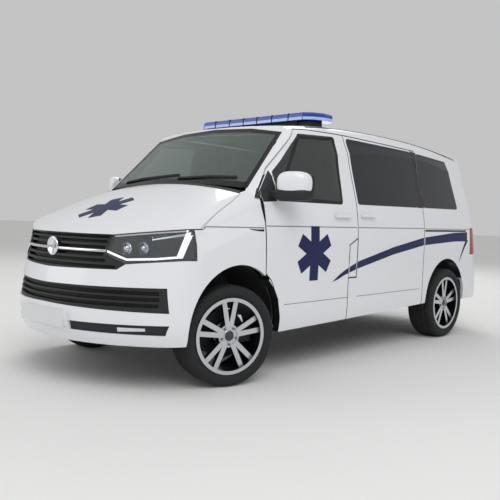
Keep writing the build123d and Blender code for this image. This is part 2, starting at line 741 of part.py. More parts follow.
upper_whole = NOSE & upper_grille_block
upper_plate = upper_whole.moved(Location(GRILLE_FACE_IN)) & upper_grille_block
upper_plate = upper_plate - upper_whole.moved(Location(GRILLE_BACK_IN))
upper_floor = upper_whole.moved(Location(GRILLE_FLOOR_IN))
upper_slots = slots(UPPER_SLOTS)
with BuildPart() as upper_grille:
    add(upper_plate, clean=False)
    for slot in upper_slots:
        add(slot - upper_floor, clean=False, mode=Mode.SUBTRACT)
keep(upper_grille, "upper_grille")

lower_whole = NOSE & lower_grille_block
lower_plate = lower_whole.moved(Location(GRILLE_FACE_IN)) & lower_grille_block
lower_plate = lower_plate - lower_whole.moved(Location(GRILLE_BACK_IN))
lower_floor = lower_whole.moved(Location(GRILLE_FLOOR_IN))
lower_slots = slots(LOWER_SLOTS)
fog_whole = NOSE & fog_block
fog_insert = (fog_whole.moved(Location(FOG_FACE_IN)) & fog_block) - fog_whole.moved(Location(FOG_BACK_IN))
with BuildPart() as lower_grille:
    add(lower_plate, clean=False)
    for slot in lower_slots:
        add(slot - lower_floor, clean=False, mode=Mode.SUBTRACT)
    add(fog_insert, clean=False)
    add(other_side(fog_insert), clean=False)
keep(lower_grille, "lower_grille")

# Scuttle under the windscreen
cowl_face = NOSE & box_between((COWL_FRONT_X - COWL_W, -COWL_HALF, FIREWALL_TOP), (COWL_FRONT_X,
    COWL_HALF, COWL_TOP))
with BuildPart() as cowl:
    add(cowl_face)
    add(box_between((FIREWALL_X, -COWL_HALF, FIREWALL_TOP), (COWL_FRONT_X, COWL_HALF, FIREWALL_TOP + SKIN_T)))
keep(cowl, "cowl")


# Floor, firewall, front rails, radiator carrier and wheel housings
def wheel_housing(axle_x, centre_z, radius, inner_y, low_z):
    """Half-round wheel housing with its inner wall, left hand."""
    depth = FLOOR_HALF - inner_y
    with BuildPart() as housing:
        with BuildSketch(Plane.XZ.offset(-inner_y)):
            with Locations((axle_x, centre_z)):
                Circle(radius + HOUSING_T)
        extrude(amount=depth, dir=LEFTWARD)
        with BuildSketch(Plane.XZ.offset(-inner_y - HOUSING_T)):
            with Locations((axle_x, centre_z)):
                Circle(radius)
        extrude(amount=depth, dir=LEFTWARD, mode=Mode.SUBTRACT)
        with Locations((axle_x, inner_y, low_z)):
            Box(REACH, REACH, REACH, align=(Align.CENTER, Align.CENTER, Align.MAX), mode=Mode.SUBTRACT)
    return housing.part


def wheel_room(axle_x, centre_z, radius, inner_y):
    """Free room for a wheel inside its housing, left hand."""
    with BuildPart() as room:
        with BuildSketch(Plane.XZ.offset(-inner_y)):
            with Locations((axle_x, centre_z)):
                Circle(radius)
            with Locations((axle_x, 0)):
                Rectangle(2 * radius, centre_z, align=(Align.CENTER, Align.MIN))
        extrude(amount=SIDE_REACH, dir=LEFTWARD)
    return room.part


front_room = wheel_room(FRONT_AXLE_X, ARCH_Z, FRONT_HOUSING_R + HOUSING_T / 2, FRONT_HOUSING_Y)
rear_room = wheel_room(REAR_AXLE_X, REAR_ARCH_Z, REAR_HOUSING_R + HOUSING_T / 2, REAR_HOUSING_Y)
front_housing = wheel_housing(FRONT_AXLE_X, ARCH_Z, FRONT_HOUSING_R, FRONT_HOUSING_Y, RAIL_TOP)
rear_housing = wheel_housing(REAR_AXLE_X, REAR_ARCH_Z, REAR_HOUSING_R, REAR_HOUSING_Y, FLOOR_LOW)
floor_plate = box_between((FLOOR_REAR_X, -FLOOR_HALF, FLOOR_LOW), (FIREWALL_X, FLOOR_HALF, FLOOR_TOP))
firewall = box_between((FIREWALL_X, -DASH_HALF, FLOOR_LOW), (FIREWALL_X + FIREWALL_T, DASH_HALF,
    FIREWALL_TOP))
rail = box_between((FIREWALL_X - RAIL_LAP, RAIL_Y, RAIL_LOW), (CARRIER_X + CARRIER_T,
    RAIL_Y + RAIL_W, RAIL_TOP))
carrier = box_between((CARRIER_X, -CARRIER_HALF, CARRIER_LOW), (CARRIER_X + CARRIER_T, CARRIER_HALF,
    CARRIER_TOP))
with BuildPart() as floor_pan:
    add(floor_plate)
    add(firewall)
    for room in (front_room, rear_room):
        add(room, mode=Mode.SUBTRACT)
        add(other_side(room), mode=Mode.SUBTRACT)
    for piece in (rail, front_housing, rear_housing):
        add(piece)
        add(other_side(piece))
    add(carrier)
keep(floor_pan, "floor_pan")

with BuildPart() as engine:
    add(box_between((ENGINE_REAR_X, -ENGINE_HALF, SUBFRAME_TOP), (ENGINE_FRONT_X, ENGINE_HALF, ENGINE_TOP)))
    chamfer(engine.edges().group_by(Axis.Z)[-1], length=ENGINE_EDGE)
keep(engine, "engine")

# Front subframe with its arms, towers and struts
def front_arms():
    """Lower arm, upper arm, tower and strut of the left front wheel."""
    with BuildPart() as arms:
        for low_z, high_z in ((ARM_LOW_Z, KNUCKLE_LOW_Z - PIN_FIT), (KNUCKLE_TOP_Z + PIN_FIT, ARM_HIGH_Z)):
            with Locations((FRONT_AXLE_X, TOWER_Y, low_z)):
                Box(ARM_W, KINGPIN_Y - TOWER_Y, high_z - low_z, align=(Align.CENTER, Align.MIN, Align.MIN))
            with Locations((FRONT_AXLE_X, KINGPIN_Y, low_z)):
                Cylinder(ARM_W / 2, high_z - low_z, align=(Align.CENTER, Align.CENTER, Align.MIN))
        with Locations((FRONT_AXLE_X, TOWER_Y, ARM_LOW_Z)):
            Box(ARM_W, TOWER_W, ARM_HIGH_Z - ARM_LOW_Z, align=(Align.CENTER, Align.MIN, Align.MIN))
        with Locations((FRONT_AXLE_X, TOWER_Y + TOWER_W / 2, ARM_HIGH_Z)):
            Cylinder(STRUT_R, STRUT_TOP - ARM_HIGH_Z, align=(Align.CENTER, Align.CENTER, Align.MIN))
        with Locations((FRONT_AXLE_X, SUBFRAME_HALF, ARM_LOW_Z)):
            Box(ARM_W, TOWER_Y - SUBFRAME_HALF, KNUCKLE_LOW_Z - ARM_LOW_Z, align=(Align.CENTER,
                Align.MIN, Align.MIN))
    return arms.part


left_arms = front_arms()
subframe_post = box_between((SUBFRAME_REAR_X, RAIL_Y, SUBFRAME_TOP), (SUBFRAME_REAR_X + POST_W,
    RAIL_Y + RAIL_W, RAIL_LOW))
subframe_beam = box_between((SUBFRAME_REAR_X, -SUBFRAME_HALF, SUBFRAME_LOW), (SUBFRAME_FRONT_X,
    SUBFRAME_HALF, SUBFRAME_TOP))
with BuildPart() as front_subframe:
    add(subframe_beam)
    for piece in (left_arms, subframe_post):
        add(piece)
        add(other_side(piece))
keep(front_subframe, "front_subframe")


# Brake caliper in the frame of a wheel: y outboard from the wheel's middle plane
def brake_caliper():
    """Caliper straddling the disc, with the bracket that carries it."""
    with BuildPart() as caliper:
        with Locations((-CALIPER_FAR_X, CALIPER_IN_Y, 0)):
            Box(CALIPER_FAR_X - CALIPER_NEAR_X, CALIPER_OUT_Y - CALIPER_IN_Y, CALIPER_H,
                align=(Align.MIN, Align.MIN, Align.CENTER))
        with Locations((0, DISC_IN_Y - MOVE_GAP, 0)):
            with Locations(Rotation(-90, 0, 0)):
                Cylinder(DISC_R + MOVE_GAP, DISC_T + 2 * MOVE_GAP,
                         align=(Align.CENTER, Align.CENTER, Align.MIN), mode=Mode.SUBTRACT)
        with Locations((-CALIPER_FAR_X, CALIPER_IN_Y, 0)):
            Box(CALIPER_FAR_X, BRACKET_T, BRACKET_H, align=(Align.MIN, Align.MIN, Align.CENTER))
    return caliper.part


def stub_axle(root_y):
    """Round stub on the axle line, from its root to its outer end."""
    with BuildPart() as stub:
        with Locations((0, root_y, 0)):
            with Locations(Rotation(-90, 0, 0)):
                Cylinder(STUB_R, STUB_END_Y - root_y, align=(Align.CENTER, Align.CENTER, Align.MIN))
    return stub.part


caliper_piece = brake_caliper()
stub_piece = stub_axle(KINGPIN_Y - HALF_TRACK)
with BuildPart() as knuckle:
    with Locations((0, KINGPIN_Y - HALF_TRACK, KNUCKLE_LOW_Z - WHEEL_R)):
        Cylinder(KINGPIN_R, KNUCKLE_TOP_Z - KNUCKLE_LOW_Z, align=(Align.CENTER, Align.CENTER, Align.MIN))
    add(stub_piece)
    add(caliper_piece)

# Rear axle with trailing arms, springs and stubs
rear_stub = Pos(REAR_AXLE_X, HALF_TRACK, WHEEL_R) * (stub_piece + caliper_piece)
trailing_arm = box_between((REAR_AXLE_X, TRAIL_Y, TRAIL_LOW), (TRAIL_FRONT_X, TRAIL_Y + TRAIL_W, TRAIL_TOP))
trailing_post = box_between((TRAIL_FRONT_X - TRAIL_W, TRAIL_Y, TRAIL_TOP), (TRAIL_FRONT_X,
    TRAIL_Y + TRAIL_W, FLOOR_LOW))
with BuildPart() as rear_axle:
    with Locations((REAR_AXLE_X, 0, WHEEL_R)):
        with Locations(Rotation(90, 0, 0)):
            Cylinder(BEAM_R, 2 * BEAM_HALF)
    for side in (1, -1):
        with Locations((REAR_AXLE_X, side * SPRING_Y, WHEEL_R)):
            Cylinder(SPRING_R, FLOOR_LOW - WHEEL_R, align=(Align.CENTER, Align.CENTER, Align.MIN))
    for piece in (rear_stub, trailing_arm, trailing_post):
        add(piece)
        add(other_side(piece))
keep(rear_axle, "rear_axle")

with BuildPart() as underbody:
    add(box_between((TANK_REAR_X, -TANK_FAR_Y, TANK_LOW), (TANK_FRONT_X, -TANK_NEAR_Y, FLOOR_LOW)))
    add(box_between((MUFFLER_REAR_X, TANK_NEAR_Y, TANK_LOW), (MUFFLER_FRONT_X, MUFFLER_FAR_Y, FLOOR_LOW)))
    with Locations((MUFFLER_FRONT_X, PIPE_Y, PIPE_Z)):
        with Locations(Rotation(0, 90, 0)):
            Cylinder(PIPE_R, PIPE_LEN, align=(Align.CENTER, Align.CENTER, Align.MIN))
keep(underbody, "underbody")

# Cab: dashboard with steering column, steering wheel, seats and partition
wheel_tilt = Location((STEER_X, STEER_Y, STEER_Z), (0, 90 + STEER_TILT, 0))
with BuildPart() as dashboard:
    with BuildSketch(Plane.XZ.offset(DASH_HALF)):
        Polygon(*DASH_SIDE, align=None)
    extrude(amount=2 * DASH_HALF, dir=LEFTWARD)
    with Locations(wheel_tilt):
        with Locations((0, 0, COLUMN_NEAR)):
            Cylinder(COLUMN_R, COLUMN_FAR - COLUMN_NEAR, align=(Align.CENTER, Align.CENTER, Align.MIN))
        with Locations((0, 0, 0)):
            Cylinder(SHAFT_R + MOVE_GAP, SHAFT_LEN + MOVE_GAP, align=(Align.CENTER, Align.CENTER,
                Align.MIN), mode=Mode.SUBTRACT)
keep(dashboard, "dashboard")

with BuildPart() as steering_wheel:
    with Locations(wheel_tilt):
        Torus(STEER_R, STEER_RIM_R)
        Cylinder(STEER_HUB_R, STEER_HUB_T)
        Cylinder(SHAFT_R, SHAFT_LEN, align=(Align.CENTER, Align.CENTER, Align.MIN))
        for angle in STEER_SPOKES:
            with Locations(Rotation(0, 0, angle)):
                Box(STEER_R, STEER_SPOKE_W, STEER_SPOKE_T, align=(Align.MIN, Align.CENTER, Align.CENTER))
keep(steering_wheel, "steering_wheel")

with BuildPart() as front_seats:
    for side in (1, -1):
        seat_y = side * SEAT_Y
        for profile, width in ((SEAT_CUSHION, SEAT_W), (SEAT_BACK, SEAT_W), (SEAT_HEAD, HEAD_W),
            (SEAT_BASE, SEAT_BASE_W)):
            with BuildSketch(Plane.XZ.offset(-seat_y + width / 2)):
                Polygon(*profile, align=None)
            extrude(amount=width, dir=LEFTWARD)
keep(front_seats, "front_seats")

partition_window = box_between((0, -PART_WINDOW_HALF, PART_WINDOW_LOW), (PART_X + PART_T,
    PART_WINDOW_HALF, PART_WINDOW_TOP))
with BuildPart() as partition:
    with BuildSketch(Plane.YZ.offset(PART_X)):
        Polygon(*both_sides(PART_HALF), align=None)
    extrude(amount=PART_T, dir=FORWARD)
    add(partition_window, mode=Mode.SUBTRACT)
keep(partition, "partition")

with BuildPart() as stretcher:
    add(box_between((BED_REAR_X, -BED_HALF, BED_LOW), (BED_FRONT_X, BED_HALF, BED_TOP)))
    for leg_x in (BED_REAR_X + BED_LEG_IN, BED_FRONT_X - BED_LEG_IN):
        for leg_y in (BED_HALF - BED_LEG_IN / 2, BED_LEG_IN / 2 - BED_HALF):
            with Locations((leg_x, leg_y, FLOOR_TOP)):
                Cylinder(BED_LEG_R, BED_LOW - FLOOR_TOP, align=(Align.CENTER, Align.CENTER, Align.MIN))
keep(stretcher, "stretcher")

# Light bar on the roof and the aerial
foot_block = box_between((BAR_FOOT_REAR_X, -BAR_FOOT_HALF, ROOF_SEAT_LOW), (BAR_FOOT_FRONT_X,
    BAR_FOOT_HALF, BAR_LOW))
bar_foot = foot_block - CABIN
with BuildPart() as light_bar_base:
    add(bar_foot)
keep(light_bar_base, "light_bar_base")

with BuildPart() as light_bar_lens:
    with BuildSketch(Plane.XY.offset(BAR_LOW)):
        Polygon(*BAR_PLAN, *[(x, -y) for x, y in reversed(BAR_PLAN)], align=None)
    extrude(amount=BAR_TOP - BAR_LOW, dir=UPWARD)
    chamfer(light_bar_lens.edges().group_by(Axis.Z)[-1], length=BAR_EDGE)
keep(light_bar_lens, "light_bar_lens")

with BuildPart() as aerial_rod:
    with Locations((AERIAL_X, AERIAL_Y, ROOF_SEAT_LOW)):
        Cone(AERIAL_R, AERIAL_TIP_R, AERIAL_TOP - ROOF_SEAT_LOW, align=(Align.CENTER, Align.CENTER,
            Align.MIN))
aerial_piece = aerial_rod.part - CABIN
with BuildPart() as aerial:
    add(aerial_piece)
keep(aerial, "aerial")

# Door mirrors, each on a short arm that ends on the door skin
with BuildPart() as mirror_arm:
    with Locations((MIRROR_ARM_X, MIRROR_ROOT_Y, MIRROR_ARM_Z)):
        Box(MIRROR_ARM_W, MIRROR_IN_Y - MIRROR_ROOT_Y + MIRROR_LAP, MIRROR_ARM_H,
            align=(Align.CENTER, Align.MIN, Align.CENTER))
arm_piece = mirror_arm.part - CABIN
MIRROR_FRONT_X = MIRROR_X + MIRROR_D / 2
MIRROR_OUT_Y = MIRROR_IN_Y + MIRROR_W
MIRROR_PLAN = [
    (MIRROR_FRONT_X, MIRROR_IN_Y), (MIRROR_FRONT_X - MIRROR_SWEEP, MIRROR_OUT_Y),
    (MIRROR_FRONT_X - MIRROR_D - MIRROR_SWEEP, MIRROR_OUT_Y), (MIRROR_FRONT_X - MIRROR_D, MIRROR_IN_Y),
]
with BuildPart() as mirror_left:
    with BuildSketch(Plane.XY.offset(MIRROR_LOW)):
        Polygon(*MIRROR_PLAN, align=None)
    extrude(amount=MIRROR_H, dir=UPWARD)
    fillet(mirror_left.edges(), radius=MIRROR_EDGE)
    add(arm_piece)
keep(mirror_left, "mirror_left")

with BuildPart() as mirror_right:
    add(other_side(mirror_left.part))
keep(mirror_right, "mirror_right")

# Wheel and tyre about their own middle, axis along y, outboard side at +y
with BuildPart() as tyre:
    with BuildSketch(Plane.YZ):
        Polygon(*TYRE_HALF, *[(-y, z) for y, z in reversed(TYRE_HALF)], align=None)
    revolve(axis=Axis.Y)

with BuildPart() as wheel:
    with BuildSketch(Plane.YZ):
        Polygon(*RIM_SECTION, align=None)
    revolve(axis=Axis.Y)
    for angle in range(0, FULL_TURN, FULL_TURN // SPOKE_PAIRS):
        for spread in (-SPOKE_SPREAD, SPOKE_SPREAD):
            with BuildSketch(Plane.XZ.offset(-SPOKE_IN_Y)):
                with Locations(Rotation(0, 0, angle + spread)):
                    with Locations((0, SPOKE_LOW_R)):
                        Rectangle(SPOKE_W, RIM_INNER_R + SPOKE_LAP - SPOKE_LOW_R,
                            align=(Align.CENTER, Align.MIN))
            extrude(amount=SPOKE_OUT_Y - SPOKE_IN_Y, dir=LEFTWARD)
    with BuildSketch(Plane.YZ):
        Polygon(*HUB_SECTION, align=None)
    revolve(axis=Axis.Y)


# Places of the four wheels: left and right, front ones turned about their kingpins
def steered(piece):
    """Left front piece turned to its rest angle about the kingpin."""
    about = Location((FRONT_AXLE_X, KINGPIN_Y, WHEEL_R), (0, 0, STEER_REST))
    return about * Pos(0, HALF_TRACK - KINGPIN_Y, 0) * piece


def steered_right(piece):
    """Right front piece, mirrored in build and turned by the same angle."""
    about = Location((FRONT_AXLE_X, -KINGPIN_Y, WHEEL_R), (0, 0, STEER_REST))
    return about * Pos(0, KINGPIN_Y - HALF_TRACK, 0) * other_side(piece)


def rear_left(piece):
    """Left rear piece in its place."""
    return Pos(REAR_AXLE_X, HALF_TRACK, WHEEL_R) * piece


def rear_right(piece):
    """Right rear piece in its place."""
    return Pos(REAR_AXLE_X, -HALF_TRACK, WHEEL_R) * other_side(piece)


PLACES = {"front_left": steered, "front_right": steered_right, "rear_left": rear_left,
    "rear_right": rear_right}
for place, put in PLACES.items():
    with BuildPart() as placed_tyre:
        add(put(tyre.part))
    keep(placed_tyre, f"tyre_{place}")
    with BuildPart() as placed_wheel:
        add(put(wheel.part))
    keep(placed_wheel, f"wheel_{place}")

with BuildPart() as knuckle_left:
    add(steered(knuckle.part))
keep(knuckle_left, "knuckle_left")

with BuildPart() as knuckle_right:
    add(steered_right(knuckle.part))
keep(knuckle_right, "knuckle_right")
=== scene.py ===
"""Looks of a compact ambulance van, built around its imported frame."""

import logging
import math
from dataclasses import dataclass, field
from enum import Enum
from typing import Callable, Iterable, Sequence

import bmesh
import bpy
from mathutils import Matrix, Vector


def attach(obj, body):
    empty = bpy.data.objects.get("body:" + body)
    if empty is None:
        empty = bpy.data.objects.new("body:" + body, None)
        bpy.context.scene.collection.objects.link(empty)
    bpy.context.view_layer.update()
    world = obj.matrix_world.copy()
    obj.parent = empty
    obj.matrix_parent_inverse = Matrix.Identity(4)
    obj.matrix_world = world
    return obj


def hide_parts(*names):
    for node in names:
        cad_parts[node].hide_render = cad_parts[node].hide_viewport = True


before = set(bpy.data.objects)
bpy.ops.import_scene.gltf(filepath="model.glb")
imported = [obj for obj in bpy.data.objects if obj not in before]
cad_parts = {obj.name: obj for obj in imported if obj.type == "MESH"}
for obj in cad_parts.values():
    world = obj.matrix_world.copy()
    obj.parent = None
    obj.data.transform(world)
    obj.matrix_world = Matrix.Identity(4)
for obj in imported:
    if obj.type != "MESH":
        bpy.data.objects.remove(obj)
LOG = logging.getLogger("ambulance")
MM = 0.001
BODY = "van_body"
AXIS = 0.01  # radius in millimetres that closes a turned profile
Pair = tuple[float, float]
Point = tuple[float, float, float]
Table = tuple[Pair, ...]
Place = Callable[[float, float], Vector]  # rule from two shares or places to a point in metres
Rows = tuple[tuple, ...]
Piece = bpy.types.Object
Tree = bpy.types.NodeTree
Node = bpy.types.Node
Socket = bpy.types.NodeSocket


class Face(Enum):
    """Faces of the vehicle: the axis looked along, and where the look starts in metres."""

    LEFT = (1, 1.6)
    RIGHT = (1, -1.6)
    FRONT = (0, 3.0)
    REAR = (0, -3.0)
    TOP = (2, 2.5)


class Side(Enum):
    """Left and right of the vehicle, as the sign of y."""

    LEFT = 1
    RIGHT = -1

    @property
    def word(self) -> str:
        """The side's name in node and body names."""
        return self.name.lower()

    @property
    def face(self) -> Face:
        """The face seen from this side."""
        return Face[self.name]

    def box(self, low: Point, high: Point) -> tuple[Point, Point]:
        """Both corners of a left-hand box, moved to this side."""
        near, far = sorted((self.value * low[1], self.value * high[1]))
        return (low[0], near, low[2]), (high[0], far, high[2])


@dataclass(frozen=True)
class Finish:
    """One surface finish; colours are sRGB hex, the grain's size is in millimetres."""

    name: str
    color: str
    rough: float
    metal: float = 0.0
    coat: float = 0.0
    clear: float = 0.0
    glow: float = 0.0
    grain_mm: float = 0.0
    bump: float = 0.0
    shift: float = 0.0
    shine: float = 0.5
    # Dark colour of faces that look inwards: cab trim cloth on the body, painted shade on the
    # wheels.
    lining: str = ""
    lining_way: Point = (0.05, 1.0, 1.0)


class Finishes:
    """All finishes of the vehicle."""

    # Clear-coated white: an even panel with a sharp glint over a soft sheen.
    PAINT = Finish("white_paint", "#E4E6EA", 0.32, coat=0.6, grain_mm=420, shift=0.02)
    # The same paint outside, dark trim cloth on the faces that look into the cab.
    LINED = Finish("lined_paint", "#E4E6EA", 0.32, coat=0.6, grain_mm=420, shift=0.02,
                   lining="#1E2023")
    # The same for the tailgate, whose inside looks forwards.
    LINED_REAR = Finish("lined_tail", "#E4E6EA", 0.32, coat=0.6, grain_mm=420, shift=0.02,
                        lining="#1E2023", lining_way=(1.0, 0.0, 0.4))
    # Painted shade: a grey line that stands in for the shadow along a pressed crease.
    CREASE = Finish("crease_shade", "#76797F", 0.5, grain_mm=60, shift=0.05)
    # Privacy glass: a near-black pane that mirrors the sky a little.
    TINT = Finish("tinted_glass", "#1C1F25", 0.05, grain_mm=300, shift=0.04, shine=0.4)
    # Laminated screen: clear, with a faint green cast.
    SCREEN = Finish("green_glass", "#B9CFC8", 0.02, clear=0.92, grain_mm=300, shift=0.02)
    # Toughened door pane: clear and slightly grey, so the cab reads dark.
    DOOR_GLASS = Finish("clear_glass", "#7C8886", 0.02, clear=0.9, grain_mm=300, shift=0.02)
    # Clear lamp plastic: almost unseen apart from its glints.
    COVER = Finish("clear_cover", "#E9EEF2", 0.03, clear=0.96, grain_mm=200, shift=0.01)
    # Red lens: deep colour, broken up by its fine optics.
    RED = Finish("red_lens", "#8E0B12", 0.12, coat=0.5, grain_mm=12, bump=0.05, shift=0.1)
    # Blue lens: saturated and glossy.
    BLUE = Finish("blue_lens", "#12359E", 0.12, coat=0.6, grain_mm=14, bump=0.06, shift=0.15)
    # Pale lens: the bright row of lamps behind blue plastic.
    PALE = Finish("pale_lens", "#A9C2EE", 0.15, coat=0.5, grain_mm=9, bump=0.08, shift=0.2)
    # Moulded plastic: dull black with a fine leather grain.
    BLACK = Finish("black_plastic", "#17181A", 0.55, grain_mm=1.2, bump=0.12, shift=0.1)
    # Polished plastic and printed glass: deep black with a clean reflection.
    GLOSS_BLACK = Finish("black_gloss", "#0C0D0F", 0.15, grain_mm=200, shift=0.05, shine=0.4)
    # Seal rubber: flat black without a glint.
    RUBBER = Finish("seal_rubber", "#101113", 0.7, grain_mm=2, bump=0.1, shift=0.1)
    # Tyre rubber: matt and slightly dusty.
    TYRE = Finish("tyre_rubber", "#1B1C1E", 0.82, grain_mm=3, bump=0.18, shift=0.2)
    # Lacquered alloy: bright on the faces that look outwards; the darker alloy on the spoke sides
    # and in the barrel behind them is painted shade.
    ALLOY = Finish("bright_alloy", "#C9CCD0", 0.28, metal=0.9, coat=0.3, grain_mm=0.8, bump=0.03,
                   shift=0.05, lining="#3B3D41", lining_way=(0.0, 1.0, 0.0))
    # Heat-darkened disc: a dim grey face behind the spokes.
    BRAKE = Finish("dark_disc", "#1F2022", 0.5, metal=0.5, grain_mm=2, bump=0.05, shift=0.1)
    # Dark alloy: the dim middle of the wheel.
    DARK_ALLOY = Finish("dark_alloy", "#4A4D52", 0.4, metal=0.7, grain_mm=1, bump=0.04, shift=0.1)
    # Chrome plating: a clear mirror that catches light as thin lines.
    CHROME = Finish("chrome", "#E3E6EA", 0.08, metal=1.0, grain_mm=60, shift=0.03)
    # Zinc-plated steel: satin grey bolts.
    STEEL = Finish("brake_steel", "#8C8F94", 0.35, metal=1.0, grain_mm=1.5, bump=0.06, shift=0.1)
    # Navy film: flat saturated blue, duller than the paint around it.
    NAVY = Finish("navy_film", "#101A4C", 0.45, grain_mm=150, shift=0.05, shine=0.3)
    # Light guide: white with a weak glow of its own.
    LED = Finish("lamp_strip", "#EEF3FA", 0.2, glow=0.35, grain_mm=20, shift=0.02)
    # Soft cab plastic: dark and without shine.
    TRIM = Finish("cab_trim", "#26282B", 0.75, grain_mm=1.5, bump=0.15, shift=0.12)
    # Woven seat cloth: soft, dark and slightly blue.
    CLOTH = Finish("seat_cloth", "#2B2F38", 0.95, grain_mm=1.8, bump=0.35, shift=0.25)
    # Coated sheet steel: a dark uneven floor.
    FLOOR = Finish("coated_steel", "#2E3033", 0.6, metal=0.3, grain_mm=6, bump=0.08, shift=0.15)
    # Cast metal: rough grey parts under the floor.
    CHASSIS = Finish("cast_metal", "#3A3B3D", 0.6, metal=0.6, grain_mm=3, bump=0.15, shift=0.2)
    # Satin tube: pale metal with a broad soft highlight.
    BED = Finish("satin_tube", "#9DA1A6", 0.35, metal=0.8, grain_mm=2, bump=0.03, shift=0.06)
    # Plate film: off-white, flatter than the paint.
    PLATE = Finish("plate_white", "#D9DBDD", 0.45, grain_mm=30, shift=0.03)
    # Silvered glass: a plain mirror.
    MIRROR = Finish("mirror_glass", "#DDE2E6", 0.02, metal=1.0, grain_mm=200, shift=0.01)
    # Studio floor: pale and matt, so only a soft shadow shows.
    GROUND = Finish("pale_floor", "#E9E9E8", 0.85, grain_mm=900, shift=0.01)


@dataclass
class FinishShop:
    """Makes each finish into a procedural material once."""

    detail: float = 3.0
    relief_mm: float = 0.4
    lining_middle: float = 0.9  # height in metres that inner faces look towards
    lining_edge: float = 0.4  # below this share of looking outwards, a face is an inner one
    made: dict[str, bpy.types.Material] = field(default_factory=dict)

    @staticmethod
    def linear(code: str) -> tuple[float, float, float, float]:
        """Turns an sRGB hex code into linear red, green, blue and alpha.

        Args:
            code: Colour such as "#E4E6EA".

        Returns:
            The four linear values.
        """
        values = [int(code[k:k + 2], 16) / 255 for k in (1, 3, 5)]
        red, green, blue = (v / 12.92 if v <= 0.04045 else ((v + 0.055) / 1.055) ** 2.4
                            for v in values)
        return red, green, blue, 1.0

    @staticmethod
    def _add(tree: Tree, kind: str, settings: dict[str, object],
             sockets: dict[str | int, object]) -> Node:
        """Adds one node with its settings, and sets or links its input sockets.

        Args:
            tree: The material's nodes.
            kind: Blender's name for the node.
            settings: Its own settings.
            sockets: Values of its inputs, or the sockets that feed them.

        Returns:
            The new node.
        """
        node = tree.nodes.new(kind)
        for key, value in settings.items():
            setattr(node, key, value)
        for key, value in sockets.items():
            if isinstance(value, Socket):
                tree.links.new(value, node.inputs[key])
            else:
                node.inputs[key].default_value = value
        return node

    def get(self, finish: Finish) -> bpy.types.Material:
        """Gives the material of a finish, made on first use.

        Args:
            finish: The finish wanted.

        Returns:
            Its material.
        """
        if finish.name in self.made:
            return self.made[finish.name]
        material = bpy.data.materials.new(finish.name)
        material.use_nodes = True
        tree = material.node_tree
        tree.nodes.clear()
        base = self.linear(finish.color)
        spot = self._add(tree, "ShaderNodeTexCoord", {}, {})
        noise = self._add(tree, "ShaderNodeTexNoise", {}, {
            "Vector": spot.outputs["Object"], "Scale": 1 / (finish.grain_mm * MM),
            "Detail": self.detail})
        low = [c * (1 - finish.shift) for c in base[:3]]
        high = [min(1.0, c * (1 + finish.shift)) for c in base[:3]]
        blend = self._add(tree, "ShaderNodeMix", {"data_type": "RGBA"}, {
            "Factor": noise.outputs["Fac"], "A": (*low, 1.0), "B": (*high, 1.0)})
        color = blend.outputs["Result"]
        # Faces that look inwards take the dark colour: trim cloth on the body, painted shade on the
        # wheels.
        if finish.lining:
            color = self._lining(tree, finish, spot, color)
        shader = self._add(tree, "ShaderNodeBsdfPrincipled", {}, {
            "Base Color": color, "Roughness": finish.rough, "Metallic": finish.metal,
            "Coat Weight": finish.coat, "Transmission Weight": finish.clear,
            "Specular IOR Level": finish.shine})
        if finish.glow:
            shader.inputs["Emission Color"].default_value = base
            shader.inputs["Emission Strength"].default_value = finish.glow
        if finish.bump:
            relief = self._add(tree, "ShaderNodeBump", {}, {
                "Height": noise.outputs["Fac"], "Strength": finish.bump,
                "Distance": self.relief_mm * MM})
            tree.links.new(relief.outputs["Normal"], shader.inputs["Normal"])
        self._add(tree, "ShaderNodeOutputMaterial", {}, {"Surface": shader.outputs["BSDF"]})
        self.made[finish.name] = material
        return material

    def _lining(self, tree: Tree, finish: Finish, spot: Node, color: Socket) -> Socket:
        """Colours the faces that look inwards dark: trim cloth inside the cab, and painted shade on
        the wheels' spoke sides and barrels.

        Args:
            tree: The material's nodes.
            finish: The finish with its dark inner colour.
            spot: The coordinate node.
            color: Colour of the outer faces.

        Returns:
            The socket with both colours.
        """
        way = finish.lining_way
        reach = self._add(tree, "ShaderNodeVectorMath", {"operation": "MULTIPLY_ADD"}, {
            0: spot.outputs["Object"], 1: way, 2: (0.0, 0.0, -self.lining_middle * way[2])})
        unit = self._add(tree, "ShaderNodeVectorMath", {"operation": "NORMALIZE"}, {
            0: reach.outputs["Vector"]})
        face = self._add(tree, "ShaderNodeVectorMath", {"operation": "DOT_PRODUCT"}, {
            0: unit.outputs["Vector"], 1: spot.outputs["Normal"]})
        inner = self._add(tree, "ShaderNodeMath", {"operation": "LESS_THAN"}, {
            0: face.outputs["Value"], 1: self.lining_edge})
        both = self._add(tree, "ShaderNodeMix", {"data_type": "RGBA"}, {
            "Factor": inner.outputs["Value"], "A": color, "B": self.linear(finish.lining)})
        return both.outputs["Result"]


SHOP = FinishShop()


